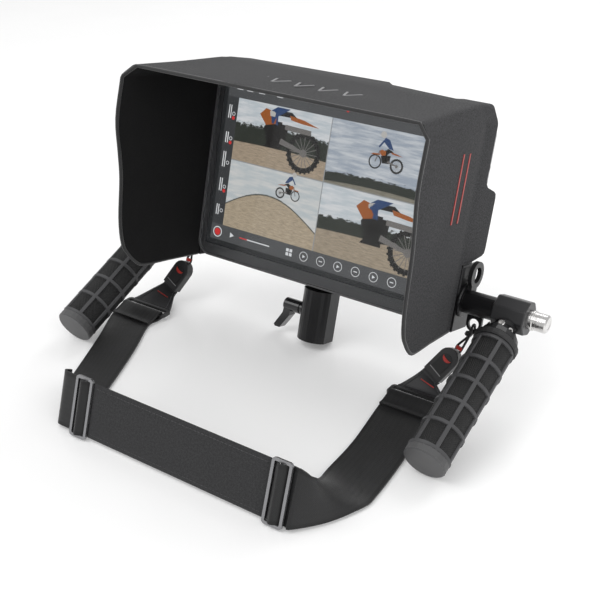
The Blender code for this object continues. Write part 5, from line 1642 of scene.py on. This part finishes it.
@dataclass
class Strap:
    """The neck strap's padded band, and the webbing from each slider to its loop."""

    maker: Maker
    layout: Layout
    width: float = 0.041
    thickness: float = 0.0016
    pad_thickness: float = 0.003
    pad_length: float = 0.1565
    pad_left: float = -0.0560
    border: float = 0.0020
    border_share: float = 0.56
    rise_width: float = 0.0045
    band_y: float = -0.2050
    lean: float = radians(18.0)
    floor: float = 0.0004
    gap: float = 0.0003
    slider_width: float = 0.016
    slider_bar: float = 0.0022
    slider_thickness: float = 0.002
    loop_length: float = 0.0125
    loop_bar: float = 0.0026
    loop_thickness: float = 0.0026
    loop_lift: float = 0.0023
    loops: dict[Side, Point] = field(
        default_factory=lambda: {Side.LEFT: (-0.1530, -0.0335), Side.RIGHT: (0.1145, -0.0260)}
    )

    def band_point(self, x: float, up: float, out: float = 0.0) -> Vector:
        """A point of the standing band: up along its width, out from its middle towards the front."""
        return Vector((
            x, self.band_y + up * sin(self.lean) - out * cos(self.lean),
            self.floor + self.slider_bar + self.gap + up * cos(self.lean) + out * sin(self.lean),
        ))

    def build(self) -> None:
        """Makes the pad and both runs of webbing."""
        self._pad()
        for side in Side:
            self._run(side)

    def _weave_edges(self, slider_x: float, away: int) -> tuple[list[Vector], list[Vector]]:
        """The lower and upper edge where the webbing passes behind, over and behind the slider's bars."""
        step = self.slider_width / 2
        over = self.slider_thickness / 2 + self.thickness / 2 + self.gap + 0.0004
        stations = [
            (-step, -over), (-0.72 * step, -over), (-0.16 * step, over), (0.16 * step, over),
            (0.72 * step, -over), (step + 0.002, -over), (step + 0.005, -over),
        ]
        lower = [self.band_point(slider_x + away * x, 0.0, out) for x, out in stations]
        return lower, [self.band_point(slider_x + away * x, self.width, out) for x, out in stations]

    def _loop_wrap(self, x: float, y: float) -> list[Vector]:
        """Where the webbing passes under the loop's front bar, back over it, and ends on itself."""
        flat = self.floor + self.thickness / 2
        bar_z = self.floor + self.loop_lift + self.loop_thickness / 2
        bar_y = y - self.loop_length / 2 + self.loop_bar / 2
        reach = bar_z + self.loop_thickness / 2 + self.thickness / 2 + 0.0006
        edge = bar_y + self.loop_bar / 2 + self.thickness / 2 + 0.0005
        end = flat + self.thickness + 0.0006
        stations = [
            (bar_y - 0.0160, flat), (bar_y - 0.0040, flat), (bar_y + 0.0012, flat),
            (edge - 0.0003, flat + 0.0009), (edge, bar_z), (edge - 0.0001, bar_z + 0.0016),
            (bar_y + 0.0017, reach - 0.0002), (bar_y, reach), (bar_y - 0.0040, reach - 0.0010),
            (bar_y - 0.0110, end), (bar_y - 0.0160, end),
        ]
        return [Vector((x, along, height)) for along, height in stations]

    def _edges(self, side: Side) -> tuple[list[Vector], list[Vector]]:
        """Both edges of a run, as points."""
        flat, half = self.floor + self.thickness / 2, self.width / 2
        loop = self.loops[side]
        wrap_low, wrap_high = (self._loop_wrap(loop[0] + across, loop[1]) for across in (-half, half))
        if side is Side.RIGHT:
            right_x = self.pad_left + self.pad_length + self.gap + self.slider_width / 2
            lower, upper = self._weave_edges(right_x, 1)
            outer = [
                *lower, Vector((0.1370, -0.1815, flat)), Vector((0.1480, -0.1560, flat)),
                Vector((0.1485, -0.1400, flat)), Vector((0.1440, -0.1000, flat)), *wrap_high,
            ]
            inner = [
                *upper, Vector((0.1270, -0.1850, 0.0345)), Vector((0.1180, -0.1650, 0.0170)),
                Vector((0.1085, -0.1400, 0.0050)), Vector((0.1030, -0.0980, flat)), *wrap_low,
            ]
            return inner, outer
        left_x = self.pad_left - self.gap - self.slider_width / 2
        lower, upper = self._weave_edges(left_x, -1)
        fold = left_x - 0.0240
        ends = ((0.003, -0.0026), (0.0, -0.0050), (0.002, -0.0080))
        outer = [
            *upper, *(self.band_point(fold + x, self.width, out) for x, out in ends),
            Vector((-0.0960, -0.1790, 0.0330)), Vector((-0.1130, -0.1640, 0.0120)),
            Vector((-0.1300, -0.1430, flat)), Vector((-0.1540, -0.0920, flat)), *wrap_low,
        ]
        inner = [
            *lower, *(self.band_point(fold + x, 0.0, out) for x, out in ends),
            Vector((-0.0830, -0.1900, flat + 0.0008)), Vector((-0.0830, -0.1720, flat)),
            Vector((-0.0910, -0.1460, flat)), Vector((-0.1140, -0.0920, flat)), *wrap_high,
        ]
        return inner, outer

    def _run(self, side: Side) -> None:
        """One run of webbing, flat across, given its thickness."""
        inner, outer = (smooth_route(edge, 5) for edge in self._edges(side))
        mesh = bmesh.new()
        uv = mesh.loops.layers.uv.new("cloth")
        steps, rows, lengths, travelled = 8, [], [], 0.0
        for i, (a, b) in enumerate(zip(inner, outer)):
            rows.append([mesh.verts.new(a.lerp(b, k / steps)) for k in range(steps + 1)])
            if i:
                travelled += ((a + b) / 2 - (inner[i - 1] + outer[i - 1]) / 2).length
            lengths.append(travelled)
        for i in range(len(rows) - 1):
            for k in range(steps):
                face = mesh.faces.new((rows[i][k], rows[i][k + 1], rows[i + 1][k + 1], rows[i + 1][k]))
                corners = ((k, lengths[i]), (k + 1, lengths[i]), (k + 1, lengths[i + 1]), (k, lengths[i + 1]))
                for loop, (step, length) in zip(face.loops, corners):
                    loop[uv].uv = (step * self.width / steps, length)
        data = bpy.data.meshes.new("run")
        mesh.to_mesh(data)
        mesh.free()
        piece = bpy.data.objects.new(f"webbing_run_{side.tag}", data)
        bpy.context.scene.collection.objects.link(piece)
        apply_modifier(piece, "SOLIDIFY", thickness=self.thickness, offset=0.0, use_even_offset=True)
        settle(piece, self.layout.ground())
        self.maker.finish(piece, "monitor", Slot.WEBBING, (), (f"strap_webbing_{side.tag}",), smooth=50.0)

    def _pad(self) -> None:
        """The padded band: a crowned closed form with a flat sewn border, and a line of stitches along it."""
        put_down()
        bpy.ops.mesh.primitive_grid_add(x_subdivisions=64, y_subdivisions=18, size=1.0)
        piece = named("neck_pad")
        length, width = self.pad_length, self.width
        piece.data.transform(Matrix.Diagonal((length, width, 1, 1)))
        with shaping(piece):
            bpy.ops.mesh.select_all(action="SELECT")
            bpy.ops.mesh.extrude_region_move(TRANSFORM_OT_translate={"value": (0, 0, self.pad_thickness)})
            bpy.ops.mesh.select_all(action="SELECT")
            bpy.ops.mesh.normals_make_consistent(inside=False)
        uv = piece.data.uv_layers[0]
        middle = self.pad_thickness / 2
        for index, loop in enumerate(piece.data.loops):
            spot = piece.data.vertices[loop.vertex_index].co
            uv.data[index].uv = (spot.x, spot.y)
        for vert in piece.data.vertices:
            inset = min(length / 2 - abs(vert.co.x), width / 2 - abs(vert.co.y))
            rise = min(1.0, max(0.0, (inset - self.border) / self.rise_width))
            rise = rise * rise * (3 - 2 * rise)
            edge = min(1.0, inset / 0.0012)
            border = self.border_share * middle
            full = border * (0.7 + 0.3 * edge) + (middle - border) * rise
            ripple = 0.00008 * noise.noise(Vector((vert.co.x * 120, vert.co.y * 120, 2.0)))
            vert.co.z = middle + (1 if vert.co.z > middle else -1) * (full + ripple * rise)
        apply_modifier(
            piece, "BEVEL", width=0.0003, segments=2, limit_method="ANGLE", angle_limit=radians(60),
        )
        turn = Matrix.Rotation(pi / 2 - self.lean, 4, "X")
        centre = self.band_point(self.pad_left + length / 2, width / 2, -self.pad_thickness / 2)
        place = self.layout.ground() @ Matrix.Translation(centre) @ turn @ Matrix.Translation((0, 0, -middle))
        settle(piece, place)
        self.maker.finish(piece, "monitor", Slot.PAD, (), ("strap_pad",), smooth=50.0)
        stitches = []
        count = 46
        for row in (-1, 1):
            for i in range(count):
                x = -length / 2 + 0.004 + (length - 0.008) * i / (count - 1)
                stitches.append(self._stitch(x, row * (width / 2 - 0.0032)))
        thread = joined("pad_stitches", stitches)
        settle(thread, place @ Matrix.Translation((0, 0, middle + 0.62 * middle)))
        self.maker.finish(thread, "monitor", Slot.PAD, ("stitch",), smooth=60.0)

    def _stitch(self, x: float, y: float) -> bpy.types.Object:
        """One short stitch of thread, sunk at both ends."""
        put_down()
        bpy.ops.mesh.primitive_cylinder_add(vertices=5, radius=0.00022, depth=0.0022)
        piece = named("stitch")
        with shaping(piece):
            pick(piece, lambda middle, normal: abs(normal.z) > 0.9)
            bpy.ops.mesh.extrude_faces_move(TRANSFORM_OT_shrink_fatten={"value": 0.0002})
            bpy.ops.transform.resize(value=(0.4, 0.4, 1.0), center_override=(0, 0, 0))
        piece.data.transform(Matrix.Translation((x, y, 0.0)) @ Matrix.Rotation(pi / 2, 4, "Y"))
        return piece


@dataclass
class StrapEnd:
    """The leather tab, the quick connector's details and the doubled cord through the eye, on one side."""

    maker: Maker
    layout: Layout
    side: Side
    foot: Vector
    head: Vector
    loop: Point
    width: float = 0.041
    narrow: float = 0.017
    tab_thickness: float = 0.0026
    gap: float = 0.0003
    loop_half: float = 0.00625
    loop_height: float = 0.0040
    eye_hole: float = 0.0042
    pod: tuple[float, float, float] = (0.017, 0.0275, 0.008)
    cord_radius: float = 0.00095
    eye_x: float = 0.1365
    eye_y: float = 0.0175

    def _pod_frame(self) -> Matrix:
        """The connector's frame: Y from its foot to its head, and X across."""
        y_axis = (self.head - self.foot).normalized()
        z_axis = Vector((1.0, 0.0, 0.0)).cross(y_axis).normalized()
        x_axis = y_axis.cross(z_axis)
        return Matrix.Translation(self.foot) @ Matrix((x_axis, y_axis, z_axis)).transposed().to_4x4()

    def build(self) -> None:
        """Makes the tab, the connector's details and the cord."""
        self._tab()
        self._details()
        self._cord()

    def _tab(self) -> None:
        """The leather tab, from the loop's width to the connector's, with a sewn margin."""
        pod = self._pod_frame()
        along = (self.head - self.foot).normalized()
        start = Vector((self.loop[0], self.loop[1] + self.loop_half + 2 * self.gap, self.loop_height))
        end = self.foot - along * 2 * self.gap
        across = pod.to_3x3() @ Vector((1, 0, 0))
        left, right = [], []
        for middle, width, turn in (
            (start, self.width, 0.0), (start + Vector((0, 0.003, 0)), 0.96 * self.width, 0.0),
            (start.lerp(end, 0.6) - Vector((0, 0, 0.0012)), 0.62 * self.width, 0.5),
            (end - along * 0.003, self.narrow, 1.0), (end, self.narrow, 1.0),
        ):
            half = Vector((1.0, 0.0, 0.0)).lerp(across, turn) * width / 2
            left.append(middle - half)
            right.append(middle + half)
        rows = list(zip(smooth_route(left, 4), smooth_route(right, 4)))
        put_down()
        bpy.ops.mesh.primitive_grid_add(x_subdivisions=10, y_subdivisions=len(rows) - 1, size=1.0)
        piece = named(f"leather_tab_{self.side.tag}")
        for vert in piece.data.vertices:
            u, v = vert.co.x + 0.5, vert.co.y + 0.5
            a, b = rows[min(len(rows) - 1, round(v * (len(rows) - 1)))]
            vert.co = a.lerp(b, u)
        apply_modifier(piece, "SOLIDIFY", thickness=self.tab_thickness, offset=0.0, use_even_offset=True)
        apply_modifier(
            piece, "BEVEL", width=0.0006, segments=2, limit_method="ANGLE", angle_limit=radians(60),
        )
        settle(piece, self.layout.ground())
        self.maker.finish(piece, "monitor", Slot.LEATHER, (), (f"strap_tab_{self.side.tag}",), smooth=50.0)
        thread = []
        for near in (0.10, 0.90):
            route = [a.lerp(b, near) for a, b in rows[1:]]
            thread.append(self._raised(route, 0.0004, self.tab_thickness / 2 + 0.0001))
        edge = joined(f"tab_stitching_{self.side.tag}", thread)
        settle(edge, self.layout.ground())
        self.maker.finish(edge, "monitor", Slot.LEATHER, ("stitch",), smooth=60.0)
        a, b = rows[len(rows) // 2]
        red = self._raised(
            [a.lerp(b, t) for t in (0.24, 0.36, 0.5, 0.64, 0.76)], 0.0005, self.tab_thickness / 2 + 0.0001,
        )
        red.name = f"tab_red_stitch_{self.side.tag}"
        settle(red, self.layout.ground())
        self.maker.finish(red, "monitor", Slot.LEATHER, ("red",), smooth=60.0)

    def _raised(self, route: Sequence[Vector], radius: float, lift: float) -> bpy.types.Object:
        """A thread along a route, lifted off the middle of the leather to its upper face."""
        up = (self._pod_frame().to_3x3() @ Vector((0, 0, 1))).normalized()
        if up.z < 0:
            up = -up
        up = (up + Vector((0, 0, 1))).normalized()
        return rod("thread", [p + up * lift for p in route], radius, rings=6)

    def _details(self) -> None:
        """The connector's release pocket, drawn as a flat near-black sheet of painted shade in place of its
        recess, its red crescent and its pale edge line.
        """
        upper_side = self.layout.ground() @ self._pod_frame()
        width, length, thickness = self.pod
        if (upper_side.to_3x3() @ Vector((0, 0, 1))).z <= 0:
            upper_side = upper_side @ Matrix.Rotation(pi, 4, "Y")
        low_y, high_y, half = 0.0062, length * 0.66, width * 0.31
        # The pocket is a flat near-black sheet: painted shade in place of its recess.
        pocket_shade = cutout(
            f"connector_pocket_shade_{self.side.tag}",
            [
                (-half, low_y), (half, low_y), (half, high_y), (half * 0.7, high_y + 0.0028),
                (0.0, high_y + 0.0040), (-half * 0.7, high_y + 0.0028), (-half, high_y),
            ],
            0.0005,
        )
        settle(pocket_shade, upper_side @ Matrix.Translation((0, 0, thickness / 2 - 0.0002)))
        self.maker.finish(pocket_shade, "monitor", Slot.NYLON, ("recess",))
        steps, wide, tall = 10, width * 0.24, 0.0036
        arc = [(wide * cos(a), -tall * sin(a)) for a in [pi * i / steps for i in range(steps + 1)]]
        arc += [(-wide * cos(a), -0.30 * tall * sin(a)) for a in [pi * i / steps for i in range(1, steps)]]
        arc.reverse()
        crescent = cutout(
            f"connector_crescent_{self.side.tag}", [(x, y + length * 0.70) for x, y in arc], 0.0006,
        )
        settle(crescent, upper_side @ Matrix.Translation((0, 0, thickness / 2 + 0.0001)))
        self.maker.finish(crescent, "monitor", Slot.NYLON, ("red",))
        ends = ((-width * 0.36, 0.0050), (width * 0.36, 0.0050))
        rule = bar(f"connector_line_{self.side.tag}", *ends, 0.0006, 0.0003)
        settle(rule, upper_side @ Matrix.Translation((0, 0, thickness / 2 - 0.0001)))
        self.maker.finish(rule, "monitor", Slot.NYLON, ("pale_line",))

    def _cord(self) -> None:
        """The doubled cord, with a whipping where it leaves the connector and a knot under the eye."""
        ground, screen = self.layout.ground(), self.layout.screen()
        low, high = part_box(f"strap_eye_{self.side.tag}")
        centre = ground.inverted() @ screen @ Vector(
            (self.side.value * self.eye_x, self.eye_y, (screen.inverted() @ ((low + high) / 2)).z)
        )
        eye = centre + (screen.to_3x3() @ Vector((0, 0, -self.eye_hole + self.cord_radius + 5 * self.gap)))
        pod = self._pod_frame()
        top = pod @ Vector((0.0, self.pod[1] + self.gap, 0.0))
        start = pod.to_3x3() @ Vector((0.0022, 0.0, 0.0))
        lead = (top - eye).normalized() * 0.004
        route = [top + start, top + start - lead]
        for y, z in ((-3.1, -5.5), (-3.1, -2.5), (-1.6, 0.6), (1.6, 0.6), (3.1, -2.5), (3.1, -5.5)):
            route.append(eye + screen.to_3x3() @ Vector((0.0, y, z)) / 1000)
        route += [top - start - lead, top - start]
        piece = rod(f"eye_cord_{self.side.tag}", smooth_route(route, 5), self.cord_radius, rings=10)
        settle(piece, ground)
        self.maker.finish(piece, "monitor", Slot.CORD, (), (f"connector_cord_{self.side.tag}",), smooth=60.0)
        middle = (route[1] + route[-2]) / 2
        along = (eye - top).normalized()
        whip = turned(
            f"cord_whipping_{self.side.tag}",
            [
                (0, 0), (0, 0.0024), (0.0004, 0.0029), (0.0010, 0.0026), (0.0014, 0.0029), (0.0020, 0.0026),
                (0.0024, 0.0029), (0.0028, 0.0024), (0.0028, 0),
            ],
            16,
        )
        turn = along.to_track_quat("Z", "Y").to_matrix().to_4x4()
        settle(whip, ground @ Matrix.Translation(middle - along * 0.0030) @ turn)
        self.maker.finish(whip, "monitor", Slot.CORD, ("red",), smooth=40.0)
        knot_at = eye.lerp(top, 0.32)
        knot = []
        for tilt, size in ((25, 0.0026), (-30, 0.0027), (85, 0.0022)):
            put_down()
            bpy.ops.mesh.primitive_torus_add(
                major_radius=size * 0.75, minor_radius=0.00105, major_segments=18, minor_segments=8,
            )
            ring = named("turn")
            ring.data.transform(Matrix.Rotation(radians(tilt), 4, "X"))
            knot.append(ring)
        piece = joined(f"cord_knot_{self.side.tag}", knot)
        settle(piece, ground @ Matrix.Translation(knot_at) @ turn)
        self.maker.finish(piece, "monitor", Slot.CORD, (), smooth=60.0)


# Studio


@dataclass
class Studio:
    """The plain pale floor, the soft lights and the camera."""

    camera_at: tuple[float, float, float] = (0.4237, -0.5741, 0.4408)
    camera_turn: tuple[float, float, float] = (62.32, 0.0, 34.67)
    lens: float = 63.0
    glow: float = 0.62

    def build(self) -> None:
        """Sets up the whole studio."""
        self._floor()
        self._world()
        self._light("key_light", (-0.9, -1.1, 1.9), 1.6, 18.0)
        self._light("fill_light", (1.6, -0.6, 1.1), 1.3, 7.0)
        self._light("back_light", (0.2, 1.6, 1.5), 1.4, 14.0)
        self._camera()

    def _floor(self) -> None:
        """A wide pale floor with a faint sheen."""
        put_down()
        bpy.ops.mesh.primitive_plane_add(size=30.0, location=(0, 0, -0.0002))
        floor = named("studio_floor")
        material, board, shader = start_material("floor_paper")
        tone = board.mix(board.noise(board.place(), 3.0), (0.90, 0.90, 0.90, 1.0), (0.93, 0.93, 0.93, 1.0))
        board.feed(shader.inputs["Base Color"], tone)
        shader.inputs["Emission Color"].default_value = (1.0, 1.0, 1.0, 1.0)
        shader.inputs["Emission Strength"].default_value = 0.16
        board.feed(
            shader.inputs["Roughness"], board.spread(board.noise(board.place(), 6.0), 0.2, 0.8, 0.18, 0.24),
        )
        shader.inputs["Specular IOR Level"].default_value = 0.35
        floor.data.materials.append(material)

    def _world(self) -> None:
        """Even white light from all round."""
        world = bpy.data.worlds.new("studio_world")
        bpy.context.scene.world = world
        world.use_nodes = True
        board, backdrop = Board(world.node_tree), world.node_tree.nodes["Background"]
        seen = board.add("LightPath").outputs["Is Camera Ray"]
        board.feed(backdrop.inputs["Strength"], board.math("MULTIPLY_ADD", seen, 1.0 - self.glow, self.glow))
        backdrop.inputs["Color"].default_value = (1.0, 1.0, 1.0, 1.0)
        bpy.context.scene.view_settings.view_transform = "Standard"

    def _light(self, name: str, place: tuple[float, float, float], size: float, power: float) -> None:
        data = bpy.data.lights.new(name, "AREA")
        data.size, data.energy = size, power
        lamp = bpy.data.objects.new(name, data)
        lamp.location = place
        lamp.rotation_euler = (Vector((0, 0, 0.08)) - Vector(place)).to_track_quat("-Z", "Y").to_euler()
        bpy.context.scene.collection.objects.link(lamp)

    def _camera(self) -> None:
        """The camera at the front right, looking slightly down."""
        data = bpy.data.cameras.new("camera")
        data.lens, data.sensor_width = self.lens, 36.0
        data.clip_start, data.clip_end = 0.01, 50.0
        camera = bpy.data.objects.new("camera", data)
        camera.location = self.camera_at
        camera.rotation_euler = [radians(a) for a in self.camera_turn]
        bpy.context.scene.collection.objects.link(camera)
        bpy.context.scene.camera = camera


def main() -> None:
    logging.basicConfig(level=logging.INFO, format="%(name)s %(message)s")
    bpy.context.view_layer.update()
    layout, maker = Layout(), Maker()
    Studio().build()
    maker.dress_nodes()
    Screen(maker, layout).build()
    SunHood(maker, layout).build()
    for side in Side:
        Grip(maker, layout, side).build()
    strap = Strap(maker, layout)
    strap.build()
    ends = {
        Side.LEFT: (Vector((-0.1495, -0.0030, 0.0135)), Vector((-0.1380, 0.0075, 0.0350))),
        Side.RIGHT: (Vector((0.1155, -0.0035, 0.0135)), Vector((0.1300, 0.0070, 0.0350))),
    }
    for side, (foot, head) in ends.items():
        StrapEnd(maker, layout, side, foot, head, strap.loops[side]).build()
    put_down()


if __name__ == "__main__":
    main()
